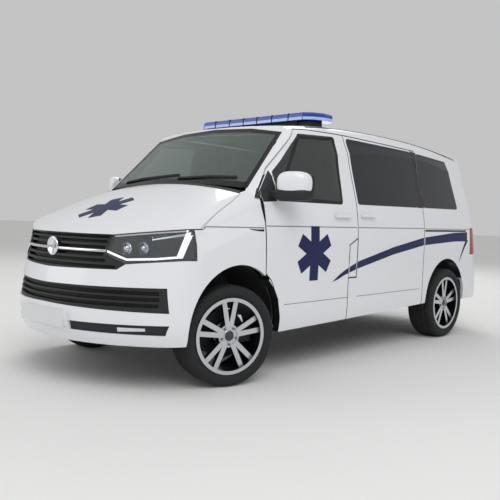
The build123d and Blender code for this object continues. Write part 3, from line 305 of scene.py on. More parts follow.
class Workshop:
    """Models new pieces with Blender's own operators."""

    WELD_MM = 0.02
    BEVEL_STEPS = 2
    BEVEL_FROM = math.radians(35)
    PILLOW_CUTS = 11
    PRESSURE = 4.0
    CLOTH_FRAMES = 20

    @staticmethod
    def _clear() -> None:
        """Leaves edit mode and selects nothing."""
        if bpy.context.object and bpy.context.object.mode != "OBJECT":
            bpy.ops.object.mode_set(mode="OBJECT")
        bpy.ops.object.select_all(action="DESELECT")

    @classmethod
    def _apply(cls, piece: Piece, kind: str, settings: dict[str, object]) -> Piece:
        """Applies one modifier with its settings to a piece.

        Args:
            piece: The piece.
            kind: Blender's name for the modifier.
            settings: Its settings.

        Returns:
            The same piece.
        """
        cls._clear()
        piece.select_set(True)
        bpy.context.view_layer.objects.active = piece
        change = piece.modifiers.new(kind.lower(), kind)
        for key, value in settings.items():
            setattr(change, key, value)
        bpy.ops.object.modifier_apply(modifier=change.name)
        return piece

    @classmethod
    def _finish(cls, piece: Piece, name: str, finish: Finish) -> Piece:
        """Names a piece and gives it its material.

        Args:
            piece: The piece.
            name: Its name.
            finish: Its finish.

        Returns:
            The same piece.
        """
        piece.name = name
        piece.data.name = name
        piece.data.materials.clear()
        piece.data.materials.append(SHOP.get(finish))
        return piece

    @classmethod
    def sheet(cls, name: str, finish: Finish, columns: int, rows: int, place: Place,
              weld: bool = False) -> Piece:
        """Shapes a grid by a rule for its points.

        Args:
            name: Name of the piece.
            finish: Its finish.
            columns: Faces along the first direction.
            rows: Faces along the second direction.
            place: Rule from two fractions to a point in metres.
            weld: Whether doubled points are merged.

        Returns:
            The new piece, shaded smooth.
        """
        cls._clear()
        bpy.ops.mesh.primitive_grid_add(x_subdivisions=columns, y_subdivisions=rows, size=1.0)
        piece = bpy.context.object
        bpy.ops.object.mode_set(mode="EDIT")
        shape = bmesh.from_edit_mesh(piece.data)
        for vertex in shape.verts:
            vertex.co = place(vertex.co.x + 0.5, vertex.co.y + 0.5)
        bmesh.update_edit_mesh(piece.data)
        bpy.ops.mesh.select_all(action="SELECT")
        if weld:
            bpy.ops.mesh.remove_doubles(threshold=cls.WELD_MM * MM)
        bpy.ops.mesh.normals_make_consistent(inside=False)
        bpy.ops.object.mode_set(mode="OBJECT")
        bpy.ops.object.shade_smooth()
        return cls._finish(piece, name, finish)

    @classmethod
    def film(cls, name: str, finish: Finish, grid: tuple[int, int], corners: Sequence[Pair],
             spot: Place) -> Piece:
        """Lays a four-cornered sheet on a face.

        Args:
            name: Name of the piece.
            finish: Its finish.
            grid: Faces along its first and its second edge.
            corners: Its corners on the face, around in turn.
            spot: Rule from two places on the face to a point in metres.

        Returns:
            The new piece.
        """
        first, second, third, fourth = corners

        def place(u: float, v: float) -> Vector:
            """Point between the corners.

            Args:
                u: Share along it.
                v: Share across it.

            Returns:
                The point in metres.
            """
            low = [first[k] + (second[k] - first[k]) * u for k in range(2)]
            high = [fourth[k] + (third[k] - fourth[k]) * u for k in range(2)]
            return spot(*(low[k] + (high[k] - low[k]) * v for k in range(2)))

        return cls.sheet(name, finish, *grid, place)

    @classmethod
    def thicken(cls, piece: Piece, depth_mm: float, bevel_mm: float) -> Piece:
        """Gives a sheet its full thickness to both sides and softens its edges."""
        cls._apply(piece, "SOLIDIFY", {"thickness": depth_mm * MM, "offset": 0.0})
        return cls.soften(piece, bevel_mm)

    @classmethod
    def soften(cls, piece: Piece, width_mm: float) -> Piece:
        """Bevels the sharp edges of a piece to a width."""
        return cls._apply(piece, "BEVEL", {
            "width": width_mm * MM, "segments": cls.BEVEL_STEPS, "limit_method": "ANGLE",
            "angle_limit": cls.BEVEL_FROM})

    @classmethod
    def _cube(cls, low: Sequence[float], high: Sequence[float], turn: Matrix | None, cuts: int,
              power: float) -> Piece:
        """Makes a block between two corners, rounded where a power is given.

        Args:
            low: Lowest corner in millimetres.
            high: Highest corner in millimetres.
            turn: Matrix in metres applied to the block, if any.
            cuts: Cuts across each face.
            power: How square the rounding is, none at zero.

        Returns:
            The new piece.
        """
        cls._clear()
        bpy.ops.mesh.primitive_cube_add(size=2.0)
        piece = bpy.context.object
        bpy.ops.object.mode_set(mode="EDIT")
        if cuts:
            bpy.ops.mesh.select_all(action="SELECT")
            bpy.ops.mesh.subdivide(number_cuts=cuts)
        shape = bmesh.from_edit_mesh(piece.data)
        for vertex in shape.verts:
            unit = vertex.co
            if power:
                unit = unit * sum(abs(c) ** power for c in unit) ** (-1 / power)
            point = Vector([(low[k] + (unit[k] + 1) / 2 * (high[k] - low[k])) * MM
                            for k in range(3)])
            vertex.co = turn @ point if turn else point
        bmesh.update_edit_mesh(piece.data)
        bpy.ops.object.mode_set(mode="OBJECT")
        return piece

    @classmethod
    def block(cls, name: str, finish: Finish, low: Sequence[float], high: Sequence[float],
              edge_mm: float) -> Piece:
        """Makes a box between two corners in millimetres, with softened edges."""
        return cls._finish(cls.soften(cls._cube(low, high, None, 0, 0), edge_mm), name, finish)

    @classmethod
    def pillow(cls, name: str, finish: Finish, low: Sequence[float], high: Sequence[float],
               turn: Matrix | None, power: float) -> Piece:
        """Makes a soft block between two corners in millimetres, squarer by its power.

        Args:
            name: Name of the piece.
            finish: Its finish.
            low: Lowest corner.
            high: Highest corner.
            turn: Matrix in metres applied to the block, if any.
            power: How square the rounding is.

        Returns:
            The new piece.
        """
        piece = cls._cube(low, high, turn, cls.PILLOW_CUTS, power)
        bpy.ops.object.shade_smooth()
        return cls._finish(piece, name, finish)

    @classmethod
    def lathe(cls, name: str, finish: Finish, profile: Sequence[Pair], frame_at: Matrix,
              sides: int) -> Piece:
        """Turns a profile of distances along y and radii about the y axis of a frame.

        Args:
            name: Name of the piece.
            finish: Its finish.
            profile: Distances and radii in millimetres.
            frame_at: Local frame, in metres.
            sides: Faces around.

        Returns:
            The new piece.
        """
        count = len(profile) - 1

        def place(u: float, v: float) -> Vector:
            """Point at a fraction of the turn and a fraction of the profile."""
            away, radius = profile[round(v * count)]
            return frame_at @ ring_point(u * math.tau, away, radius)

        return cls.sheet(name, finish, sides, count, place, weld=True)

    @classmethod
    def swell(cls, piece: Piece, voxel_mm: float, cap_mm: float) -> Piece:
        """Stuffs a closed piece as sewn cloth under pressure.

        Args:
            piece: The closed piece.
            voxel_mm: Grid size of its new mesh.
            cap_mm: Farthest that a point may move.

        Returns:
            The same piece.
        """
        cls._apply(piece, "REMESH", {"mode": "VOXEL", "voxel_size": voxel_mm * MM})
        start = [vertex.co.copy() for vertex in piece.data.vertices]
        cloth = piece.modifiers.new("stuffing", "CLOTH")
        cloth.settings.use_pressure = True
        cloth.settings.uniform_pressure_force = cls.PRESSURE
        cloth.settings.effector_weights.gravity = 0.0
        for number in range(1, cls.CLOTH_FRAMES + 1):
            bpy.context.scene.frame_set(number)
        shaped = piece.evaluated_get(bpy.context.evaluated_depsgraph_get())
        moves = [last.co - first for last, first in zip(shaped.data.vertices, start)]
        piece.modifiers.remove(cloth)
        bpy.context.scene.frame_set(1)
        for vertex, first, move in zip(piece.data.vertices, start, moves):
            far = min(1.0, cap_mm * MM / max(move.length, 1e-9))
            vertex.co = first + move * far
        bpy.ops.object.shade_smooth()
        return piece

    @classmethod
    def join(cls, name: str, pieces: Iterable[Piece]) -> Piece:
        """Joins pieces into one of that name, and gives it.

        Args:
            name: Name of the result.
            pieces: The pieces, the first one's finish first.

        Returns:
            The joined piece.
        """
        cls._clear()
        listed = list(pieces)
        for piece in listed:
            piece.select_set(True)
        bpy.context.view_layer.objects.active = listed[0]
        bpy.ops.object.join()
        listed[0].name = name
        return listed[0]


class Skin:
    """Finds points on the outer faces of the frame's nodes."""

    MISS = 0.65  # metres that a look goes before it takes the closest point instead

    @classmethod
    def spot(cls, node: str, face: Face, first: float, second: float, lift: float = 1.0) -> Vector:
        """Finds the point of a node that a look straight at a face meets.

        Args:
            node: Name of the node.
            face: The face looked at.
            first: Place in millimetres along the first axis across the look.
            second: Place along the second axis across the look.
            lift: Distance off the face in millimetres.

        Returns:
            The point in metres, or the node's closest one where the look misses it.
        """
        axis, far = face.value
        start, way = [first * MM, second * MM], [0.0, 0.0]
        start.insert(axis, far)
        way.insert(axis, -math.copysign(1.0, far))
        eye, ahead = Vector(start), Vector(way)
        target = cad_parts[node]
        found, point, _, _ = target.ray_cast(eye, ahead)
        if not found:
            _, point, _, _ = target.closest_point_on_mesh(eye + ahead * cls.MISS)
        return point - ahead * (lift * MM)

    @classmethod
    def on(cls, node: str, face: Face, lift: float = 1.0) -> Place:
        """Rule from two places on a face to the node's point there."""
        return lambda first, second: cls.spot(node, face, first, second, lift)


def along(table: Sequence[Pair], x: float) -> float:
    """Reads a table of rising x and value, with straight lines between its rows.

    Args:
        table: Rows in rising order of x.
        x: Where to read.

    Returns:
        The value there.
    """
    for (x0, v0), (x1, v1) in zip(table, table[1:]):
        if x <= x1:
            return v0 + (v1 - v0) * (x - x0) / (x1 - x0)
    return table[-1][1]


def ring_point(angle: float, away: float, radius: float) -> Vector:
    """Point in metres at an angle and a radius about the y axis, a distance along it."""
    return Vector((radius * math.sin(angle), away, radius * math.cos(angle))) * MM


def rect(start: float, end: float, low: float, high: float) -> Table:
    """Corners of a level strip."""
    return (start, low), (end, low), (end, high), (start, high)


def mirrored(corners: Sequence[Pair], side: Side) -> Table:
    """Corners given for the left, with their y moved to a side."""
    return tuple((side.value * y, z) for y, z in corners)


def mount(piece: Piece, body: str) -> Piece:
    """Fixes a piece to a body and reports it.

    Args:
        piece: The piece.
        body: The body that it rides on.

    Returns:
        The same piece.
    """
    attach(piece, body)
    LOG.info("%s rides on %s", piece.name, body)
    return piece


def carrier(word: str, side: Side) -> str:
    """Body that carries a side panel: the front doors are their own."""
    return f"{word}_{side.word}" if word == "front_door" else BODY


@dataclass
class Frame:
    """Gives every node of the frame its finish; the last row that fits a name holds."""

    rows: Rows = (
        (Finishes.LINED, ("side_frame", "front_door", "sliding_door", "roof")),
        (Finishes.LINED_REAR, ("tailgate",)),
        (Finishes.TINT, ("side_glass", "tailgate_glass")),
        (Finishes.SCREEN, ("windscreen",)),
        (Finishes.DOOR_GLASS, ("door_glass",)),
        (Finishes.COVER, ("headlamp_covers",)),
        (Finishes.GLOSS_BLACK, ("headlamp_housings",)),
        (Finishes.RED, ("tail_lamps",)),
        (Finishes.BLUE, ("light_bar_lens",)),
        (Finishes.BLACK, ("upper_grille", "lower_grille", "cowl", "light_bar_base", "aerial",
                          "mirror")),
        (Finishes.TRIM, ("dashboard", "steering_wheel", "partition")),
        (Finishes.CLOTH, ("front_seats",)),
        (Finishes.FLOOR, ("floor_pan",)),
        (Finishes.CHASSIS, ("engine", "front_subframe", "rear_axle", "underbody", "knuckle")),
        (Finishes.BED, ("stretcher",)),
        (Finishes.TYRE, ("tyre",)),
        (Finishes.ALLOY, ("wheel",)),
    )

    def build(self) -> None:
        """Sets one procedural material on each node."""
        for name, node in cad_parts.items():
            finish = Finishes.PAINT
            for row_finish, starts in self.rows:
                if name.startswith(starts):
                    finish = row_finish
            node.data.materials.clear()
            node.data.materials.append(SHOP.get(finish))


@dataclass
class Livery:
    """Stars and stripes on the sides and the bonnet, in millimetres."""

    star_middle: Pair = (747, 878)
    star_reach: float = 205
    star_bar: float = 104
    bonnet_middle: Pair = (1960, 0)
    bonnet_reach: float = 190
    bonnet_bar: float = 100
    lift: float = 0.9
    overlap: float = 0.25  # each bar of a star lies this much over the last one
    # Rows of x with the stripe's middle height, and of x with its width.
    middle: Table = ((-1960, 1000), (-1600, 996), (-955, 958), (-400, 880), (158, 772), (350, 714),
                     (503, 650))
    width: Table = ((-1960, 96), (-955, 72), (158, 58), (420, 30), (503, 2))
    # The panel that carries each part of the stripe, with the part's ends.
    parts: Rows = (
        ("front_door", 290, 503), ("side_frame", 186, 276), ("sliding_door", -950, 166),
        ("side_frame", -1920, -974))
    tail: Table = ((-1915, 962), (-1800, 852), (-1739, 735))
    tail_width: Table = ((0.0, 62), (1.0, 3))

    def _star(self, name: str, reach: float, bar: float,
              spot: Callable[[float, float, float], Vector]) -> Piece:
        """Three crossing bars; spot gives the point for two offsets and a lift.

        Args:
            name: Name of the star.
            reach: Half length of a bar.
            bar: Width of a bar.
            spot: Rule from two offsets and a lift to a point in metres.

        Returns:
            The star.
        """
        bars = []
        for k in range(3):
            angle = math.radians(60 * k + 90)
            lift = self.lift + self.overlap * k

            def place(u: float, v: float) -> Vector:
                """Point of one bar.

                Args:
                    u: Share along it.
                    v: Share across it.

                Returns:
                    The point in metres.
                """
                far = (u - 0.5) * 2 * reach
                wide = (v - 0.5) * bar
                return spot(far * math.cos(angle) - wide * math.sin(angle),
                            far * math.sin(angle) + wide * math.cos(angle), lift)

            bars.append(Workshop.sheet(f"{name}_{k}", Finishes.NAVY, 28, 6, place))
        return Workshop.join(name, bars)

    def build(self) -> None:
        """Lays the stars and the stripes on the panels."""
        x, z = self.star_middle
        for side in Side:
            door = f"front_door_{side.word}"
            mount(self._star(f"door_star_{side.word}", self.star_reach, self.star_bar,
                             lambda a, b, lift: Skin.spot(door, side.face, x + a, z + b, lift)),
                  door)
            self._stripes(side)
        bonnet_x, bonnet_y = self.bonnet_middle
        mount(self._star("bonnet_star", self.bonnet_reach, self.bonnet_bar,
                         lambda a, b, lift: Skin.spot("bonnet", Face.TOP, bonnet_x + a,
                                                      bonnet_y + b, lift)), "bonnet")

    def _stripes(self, side: Side) -> None:
        """Lays the stripe of one side, cut at the door gaps, and its tail.

        Args:
            side: The side it is on.
        """
        for k, (word, start, end) in enumerate(self.parts):
            node = f"{word}_{side.word}"
            if side is Side.LEFT and word == "side_frame" and end > 0:
                node = "fuel_flap"

            def place(u: float, v: float) -> Vector:
                """Point of one part of the stripe.

                Args:
                    u: Share along it.
                    v: Share across it.

                Returns:
                    The point in metres.
                """
                x = start + (end - start) * u
                z = along(self.middle, x) + (v - 0.5) * along(self.width, x)
                return Skin.spot(node, side.face, x, z)

            stripe = Workshop.sheet(f"stripe_{k}_{side.word}", Finishes.NAVY, 60, 4, place)
            mount(stripe, carrier(word, side))

        def tail(u: float, v: float) -> Vector:
            """Point of the turned-down tail, on a curve of three points.

            Args:
                u: Share along it.
                v: Share across it.

            Returns:
                The point in metres.
            """
            shares = ((1 - u) ** 2, 2 * u * (1 - u), u * u)
            x, z = (sum(s * row[k] for s, row in zip(shares, self.tail)) for k in range(2))
            return Skin.spot(f"side_frame_{side.word}", side.face,
                             x + (v - 0.5) * along(self.tail_width, u), z)

        mount(Workshop.sheet(f"stripe_tail_{side.word}", Finishes.NAVY, 30, 3, tail), BODY)


@dataclass
class Glazing:
    """Dark pane joints, seals, the sail corner, painted shade lines along the creases, screen
    border and wipers, in millimetres.
    """

    pillars: Rows = (
        ("sliding_door", ((-962, 1272), (-862, 1268), (-842, 1798), (-936, 1790))),
        ("side_frame", ((-990, 1274), (-963, 1272), (-937, 1790), (-962, 1784))))
    # Painted shade lines along the creases: panel, both ends along x, height and width of each
    # line.
    creases: Rows = (
        ("wing", 1320, 1900, 1066, 7), ("front_door", 190, 1296, 1078, 7),
        ("sliding_door", -950, 168, 1078, 7), ("side_frame", -1960, -975, 1076, 6),
        ("front_door", 190, 1080, 515, 5), ("sliding_door", -900, 160, 515, 5))
    crease_lift: float = 0.6
    sail: Table = ((1166, 1254), (1306, 1244), (1306, 1330), (1180, 1482))
    sail_foot: Table = ((1314, 1246), (1392, 1232), (1322, 1330), (1312, 1340))
    door_window: Table = ((362, 1258), (1150, 1258), (1160, 1300), (820, 1765), (780, 1782),
                          (400, 1796), (366, 1780))
    seal: float = 30
    gutter: Table = rect(640, -1920, 714, 734)
    gutter_lift: float = 1.2
    # Lower and upper corner of the screen's side edge, and rows of y with its lower and upper edge.
    screen: Table = ((795, 1339), (718, 1783))
    screen_low: Table = ((0, 1378), (400, 1370), (795, 1339))
    screen_top: Table = ((0, 1845), (400, 1829), (718, 1783))
    low_border: Point = (790, 2, 40)  # half length, then both edges from the screen's edge
    top_border: Point = (712, -30, -2)
    side_border: float = 42
    side_gap: Point = (1, 4, 2)  # kept free at the side, at the foot and at the top
    wipers: Table = ((-620, 40), (60, 640))
    wiper_foot: float = 34
    wiper_rise: float = 26
    wiper_wide: float = 16
    wiper_lift: float = 9
    wiper_depth: float = 10
    wiper_edge: float = 2

    def build(self) -> None:
        """Adds every trim piece of the glazing."""
        for side in Side:
            for k, (word, corners) in enumerate(self.pillars):
                mount(self._patch(f"pillar_{k}", Finishes.GLOSS_BLACK, word, corners, side), BODY)
            mount(self._patch("sail", Finishes.BLACK, "front_door", self.sail, side),
                  carrier("front_door", side))
            mount(self._patch("sail_foot", Finishes.BLACK, "side_frame", self.sail_foot, side),
                  BODY)
            gutter = tuple((x, side.value * y) for x, y in self.gutter)
            mount(Workshop.film(f"gutter_{side.word}", Finishes.RUBBER, (60, 1), gutter,
                                Skin.on("roof", Face.TOP, self.gutter_lift)), BODY)
            # Grey strips of painted shade along the creases, standing in for their shadow lines.
            for k, (word, start, end, level, wide) in enumerate(self.creases):
                line = rect(start, end, level - wide / 2, level + wide / 2)
                spot = Skin.on(f"{word}_{side.word}", side.face, self.crease_lift)
                mount(Workshop.film(f"crease_{k}_{side.word}", Finishes.CREASE, (40, 1), line,
                                    spot), carrier(word, side))
            self._seal(side)
        self._border()
        self._wipers()

    def _patch(self, name: str, finish: Finish, word: str, corners: Table, side: Side) -> Piece:
        """Four-cornered film on a side panel."""
        return Workshop.film(f"{name}_{side.word}", finish, (10, 24), corners,
                             Skin.on(f"{word}_{side.word}", side.face))

    def _seal(self, side: Side) -> None:
        """Black seal around the front door's pane.

        Args:
            side: The side it is on.
        """
        rim = self.door_window
        count = len(rim)
        middle = [sum(point[k] for point in rim) / count for k in range(2)]

        def place(u: float, v: float) -> Vector:
            """Point of the seal, from the pane's edge inwards.

            Args:
                u: Share along it.
                v: Share across it.

            Returns:
                The point in metres.
            """
            run = u * count
            k = min(int(run), count - 1)
            start, end = rim[k], rim[(k + 1) % count]
            point = [start[j] + (end[j] - start[j]) * (run - k) for j in range(2)]
            inward = [middle[j] - point[j] for j in range(2)]
            size = math.hypot(*inward)
            x, z = (point[j] + inward[j] / size * self.seal * v for j in range(2))
            return Skin.spot(f"door_glass_{side.word}", side.face, x, z)

        mount(Workshop.sheet(f"window_seal_{side.word}", Finishes.RUBBER, count * 16, 2, place,
                             weld=True), f"front_door_{side.word}")

    def _border(self) -> None:
        """Black border printed on the windscreen's edge."""
        strips = []
        for name, table, (half, near, far) in (("low", self.screen_low, self.low_border),
                                               ("top", self.screen_top, self.top_border)):
            def place(u: float, v: float) -> Vector:
                """Point of a level strip.

                Args:
                    u: Share along it.
                    v: Share across it.

                Returns:
                    The point in metres.
                """
                y = half * (2 * u - 1)
                z = along(table, abs(y)) + near + (far - near) * v
                return Skin.spot("windscreen", Face.FRONT, y, z)

            strips.append(Workshop.sheet(f"border_{name}", Finishes.GLOSS_BLACK, 60, 2, place))
        (low_y, low_z), (top_y, top_z) = self.screen
        gap, foot, top = self.side_gap
        outer = [(low_y - gap, low_z + foot), (top_y - gap, top_z - top)]
        inner = [(y - self.side_border, z) for y, z in outer]
        corners = (outer[0], outer[1], inner[1], inner[0])
        for side in Side:
            strips.append(Workshop.film(f"border_{side.word}", Finishes.GLOSS_BLACK, (30, 2),
                                        mirrored(corners, side),
                                        Skin.on("windscreen", Face.FRONT)))
        mount(Workshop.join("screen_border", strips), BODY)

    def _wipers(self) -> None:
        """Two wiper blades lying along the lower edge of the screen."""
        for k, (start, end) in enumerate(self.wipers):
            def place(u: float, v: float) -> Vector:
                """Point of one blade.

                Args:
                    u: Share along it.
                    v: Share across it.

                Returns:
                    The point in metres.
                """
                y = start + (end - start) * u
                foot = along(self.screen_low, abs(y)) + self.wiper_foot
                return Skin.spot("windscreen", Face.FRONT, y,
                                 foot + self.wiper_rise * u + self.wiper_wide * v, self.wiper_lift)

            blade = Workshop.sheet(f"wiper_{k}", Finishes.RUBBER, 24, 1, place)
            mount(Workshop.thicken(blade, self.wiper_depth, self.wiper_edge), BODY)


@dataclass
class FrontEnd:
    """Lamp strips, projectors, bright bars, badge disc and plate, in millimetres."""

    nose_r: float = 1200
    nose_line: Table = ((290, 2392), (520, 2450), (800, 2400), (1060, 2345))
    # Name, finish, half length, lower and upper edge and depth of each bar.
    bars: Rows = (
        ("grille_bar", Finishes.CHROME, 468, 886, 902, 10),
        ("grille_bar_top", Finishes.GLOSS_BLACK, 470, 992, 1000, 8))
    bar_lift: float = -5
    bar_edge: float = 2
    # Name, finish, both corners and edge of each block, x from the bumper's face.
    plate: Rows = (
        ("plate_face", Finishes.PLATE, (2, -260, 396), (6, 260, 506), 1),
        ("plate_carrier", Finishes.PAINT, (-40, -252, 402), (2, 252, 500), 2))
    plate_z: float = 490
    badge_z: float = 905
    badge_lift: float = -6
    badge: Table = ((0, AXIS), (0, 62), (6, 66), (14, 62), (16, 52), (12, 48), (12, AXIS))
    fog: Table = ((590, 398), (740, 408), (740, 426), (590, 424))
    fog_lift: float = 1.5
    lamp_lift: float = 0.8
    lamp_span: Pair = (478, 880)
    lamp_low: Table = ((474, 884), (608, 836), (760, 846), (884, 864))
    lamp_strip: Pair = (4, 18)  # both edges of the strip, from the lamp's lower line
    lamp_end: Table = ((852, 866), (880, 866), (904, 1028), (876, 1028))
    lamp_brow: Table = ((512, 984), (900, 1034), (900, 1043), (512, 993))
    projectors: Rows = (  # x, y, z and radius
        (2196, 566, 912, 36), (2138, 662, 918, 34))
    # Profile of a projector's ring: distance along, and radius beyond the lens's own.
    projector_ring: Table = ((-10, 9), (2, 9), (4, 4), (-4, 1), (-6, 0))
    lens_back: float = 6
    lens_steps: int = 10

    def _face(self, y: float, z: float, lift: float) -> Vector:
        """Point on the nose's plan arc at a height."""
        x = along(self.nose_line, z) - self.nose_r + math.sqrt(self.nose_r**2 - y * y) + lift
        return Vector((x, y, z)) * MM

    @staticmethod
    def _forward(spot: Vector) -> Matrix:
        """Local frame at a point, with its y axis to the front."""
        return Matrix.Translation(spot) @ Matrix.Rotation(math.radians(-90), 4, "Z")

    def build(self) -> None:
        """Adds the parts of the front end."""
        for name, finish, half, low, high, depth in self.bars:
            bar = Workshop.film(name, finish, (40, 1), rect(-half, half, low, high),
                                lambda y, z: self._face(y, z, self.bar_lift))
            mount(Workshop.thicken(bar, depth, self.bar_edge), BODY)
        face = Skin.spot("front_bumper", Face.FRONT, 0, self.plate_z).x / MM
        blocks = [Workshop.block(name, finish, (low[0] + face, *low[1:]),
                                 (high[0] + face, *high[1:]), edge)
                  for name, finish, low, high, edge in self.plate]
        mount(Workshop.join("front_plate", blocks), BODY)
        badge_at = self._forward(self._face(0, self.badge_z, self.badge_lift))
        mount(Workshop.lathe("badge_disc", Finishes.CHROME, self.badge, badge_at, 40), BODY)
        for side in Side:
            mount(Workshop.film(f"fog_lamp_{side.word}", Finishes.CHROME, (12, 3),
                                mirrored(self.fog, side),
                                Skin.on("lower_grille", Face.FRONT, self.fog_lift)), BODY)
            self._lamp(side)

    def _lamp(self, side: Side) -> None:
        """Bright strips and two projectors of one headlamp.

        Args:
            side: The side it is on.
        """
        cover = Skin.on("headlamp_covers", Face.FRONT, self.lamp_lift)
        low, high = self.lamp_strip
        start, end = self.lamp_span

        def place(u: float, v: float) -> Vector:
            """Point of the light strip along the lower edge."""
            y = start + (end - start) * u
            return cover(side.value * y, along(self.lamp_low, y) + low + (high - low) * v)

        lights = [
            Workshop.sheet(f"lamp_strip_{side.word}", Finishes.LED, 40, 2, place),
            Workshop.film(f"lamp_end_{side.word}", Finishes.LED, (3, 20),
                          mirrored(self.lamp_end, side), cover),
            Workshop.film(f"lamp_brow_{side.word}", Finishes.CHROME, (40, 2),
                          mirrored(self.lamp_brow, side), cover),
        ]
        mount(Workshop.join(f"lamp_light_{side.word}", lights), BODY)
        lenses = []
        for k, (x, y, z, radius) in enumerate(self.projectors):
            turns = [t * math.pi / 2 / self.lens_steps for t in range(self.lens_steps + 1)]
            profile = [(away, radius + more) for away, more in self.projector_ring]
            profile += [(radius * math.sin(t) - self.lens_back, max(AXIS, radius * math.cos(t)))
                        for t in turns]
            at = self._forward(Vector((x, side.value * y, z)) * MM)
            lenses.append(Workshop.lathe(f"projector_{k}_{side.word}", Finishes.CHROME, profile,
                                         at, 36))
        mount(Workshop.join(f"projectors_{side.word}", lenses), BODY)


@dataclass
class SideTrim:
    """Handles, slide rails, wing blades, black painted shade in the door recesses behind the front
    arches, and mirror shells, in millimetres.
    """

    # Panel, x, z and half length of each handle.
    handles: Rows = (
        ("front_door", 395, 1166, 105), ("sliding_door", 33, 1177, 100))
    grip_out: Pair = (14, 30)  # from the panel
    grip_half: float = 14
    grip_edge: float = 6
    foot_at: float = 0.8  # share of the half length
    foot_out: float = 16
    foot_half: Pair = (12, 10)
    foot_edge: float = 3
    rail: Table = rect(-975, -1890, 1050, 1066)
    blade_span: Pair = (1322, 1462)
    blade_z: float = 1040
    blade_wide: float = 22
    blade_thin: float = 0.7  # share of the width that is lost at the front end
    blade_rise: float = 14
    # Name, finish and both edges of each strip of the blade, as shares of its width.
    blade: Rows = (
        ("dark", Finishes.GLOSS_BLACK, 0.0, 0.66), ("bright", Finishes.CHROME, 0.66, 1.0))
    # Black sheet of painted shade on the door jamb behind each front arch.
    liner_middle: Pair = (1544, 390)
    liner_r: float = 426
    recess_shade_wide: float = 62
    liner_turn: Pair = (184, 128)
    liner_y: float = 872
    # Name, finish, both corners and squareness of each part of the left mirror.
    mirror: Rows = (
        ("cap", Finishes.PAINT, (1132, 957, 1292), (1256, 1151, 1462), 3.0),
        ("base", Finishes.BLACK, (1128, 953, 1258), (1254, 1152, 1338), 5.0),
        ("rim", Finishes.BLACK, (1126, 962, 1266), (1164, 1146, 1450), 6.0),
        ("glass", Finishes.MIRROR, (1122, 978, 1282), (1128, 1130, 1436), 12.0))
    mirror_sweep: float = 100 / 188
    mirror_root: float = 960
    arm_low: Point = (1165, 880, 1272)
    arm_high: Point = (1240, 990, 1328)
    arm_edge: float = 10

    def build(self) -> None:
        """Adds the side trim of both sides."""
        for side in Side:
            for word, x, z, half in self.handles:
                mount(self._handle(f"{word}_{side.word}", x, z, half, side), carrier(word, side))
            mount(Workshop.film(f"slide_rail_{side.word}", Finishes.RUBBER, (50, 1), self.rail,
                                Skin.on(f"side_frame_{side.word}", side.face)), BODY)
            self._blade(side)
            self._liner(side)
            self._mirror(side)

    def _handle(self, node: str, x: float, z: float, half: float, side: Side) -> Piece:
        """One pull handle on two feet.

        Args:
            node: The panel that carries it.
            x: Its middle along the vehicle.
            z: Its height.
            half: Half its length.
            side: The side it is on.

        Returns:
            The handle.
        """
        skin = Skin.spot(node, side.face, x, z).y / MM
        near, far = sorted(skin + side.value * out for out in self.grip_out)
        parts = [Workshop.block(f"handle_{node}", Finishes.PAINT,
                                (x - half, near, z - self.grip_half),
                                (x + half, far, z + self.grip_half), self.grip_edge)]
        near, far = sorted((skin, skin + side.value * self.foot_out))
        wide, tall = self.foot_half
        for k in (-1, 1):
            at = x + k * half * self.foot_at
            parts.append(Workshop.block(f"handle_foot_{node}_{k}", Finishes.PAINT,
                                        (at - wide, near, z - tall), (at + wide, far, z + tall),
                                        self.foot_edge))
        return Workshop.join(f"handle_{node}", parts)

    def _blade(self, side: Side) -> None:
        """Dark trim blade with a bright upper edge on the wing, at the door.

        Args:
            side: The side it is on.
        """
        start, end = self.blade_span
        strips = []
        for name, finish, low, high in self.blade:
            def place(u: float, v: float) -> Vector:
                """Point of one strip of the blade, which narrows to its front end.

                Args:
                    u: Share along it.
                    v: Share across it.

                Returns:
                    The point in metres.
                """
                wide = self.blade_wide * (low + (high - low) * v) * (1 - self.blade_thin * u)
                return Skin.spot(f"wing_{side.word}", side.face, start + (end - start) * u,
                                 self.blade_z + wide + self.blade_rise * u * u)

            strips.append(Workshop.sheet(f"blade_{name}_{side.word}", finish, 24, 2, place))
        mount(Workshop.join(f"wing_blade_{side.word}", strips), BODY)

    def _liner(self, side: Side) -> None:
        """Painted shade: a black sheet on the door jamb in the recess behind the front arch.

        Args:
            side: The side it is on.
        """
        x, z = self.liner_middle
        first, last = self.liner_turn

        def place(u: float, v: float) -> Vector:
            """Point of the painted shade sheet, kept on the recess floor.

            Args:
                u: Share along it.
                v: Share across it.

            Returns:
                The point in metres.
            """
            angle = math.radians(first + (last - first) * u)
            far = self.liner_r + self.recess_shade_wide * v
            spot = Skin.spot(f"side_frame_{side.word}", side.face, x + far * math.cos(angle),
                             z + far * math.sin(angle))
            spot.y = side.value * min(abs(spot.y), self.liner_y * MM)
            return spot

        # A black sheet of painted shade where the jamb lies in shadow.
        mount(Workshop.sheet(f"arch_liner_{side.word}", Finishes.BLACK, 40, 4, place), BODY)

    def _mirror(self, side: Side) -> None:
        """Rounded mirror, swept back towards its outer end, in place of the plain one.

        Args:
            side: The side it is on.
        """
        sweep = Matrix.Identity(4)
        sweep[0][1] = -side.value * self.mirror_sweep
        sweep[0][3] = self.mirror_sweep * self.mirror_root * MM
        parts = [Workshop.pillow(f"mirror_{name}_{side.word}", finish, *side.box(low, high), sweep,
                                 power) for name, finish, low, high, power in self.mirror]
        parts.append(Workshop.block(f"mirror_arm_{side.word}", Finishes.BLACK,
                                    *side.box(self.arm_low, self.arm_high), self.arm_edge))
        for part in parts:
            mount(part, f"front_door_{side.word}")
            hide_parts(f"mirror_{side.word}")


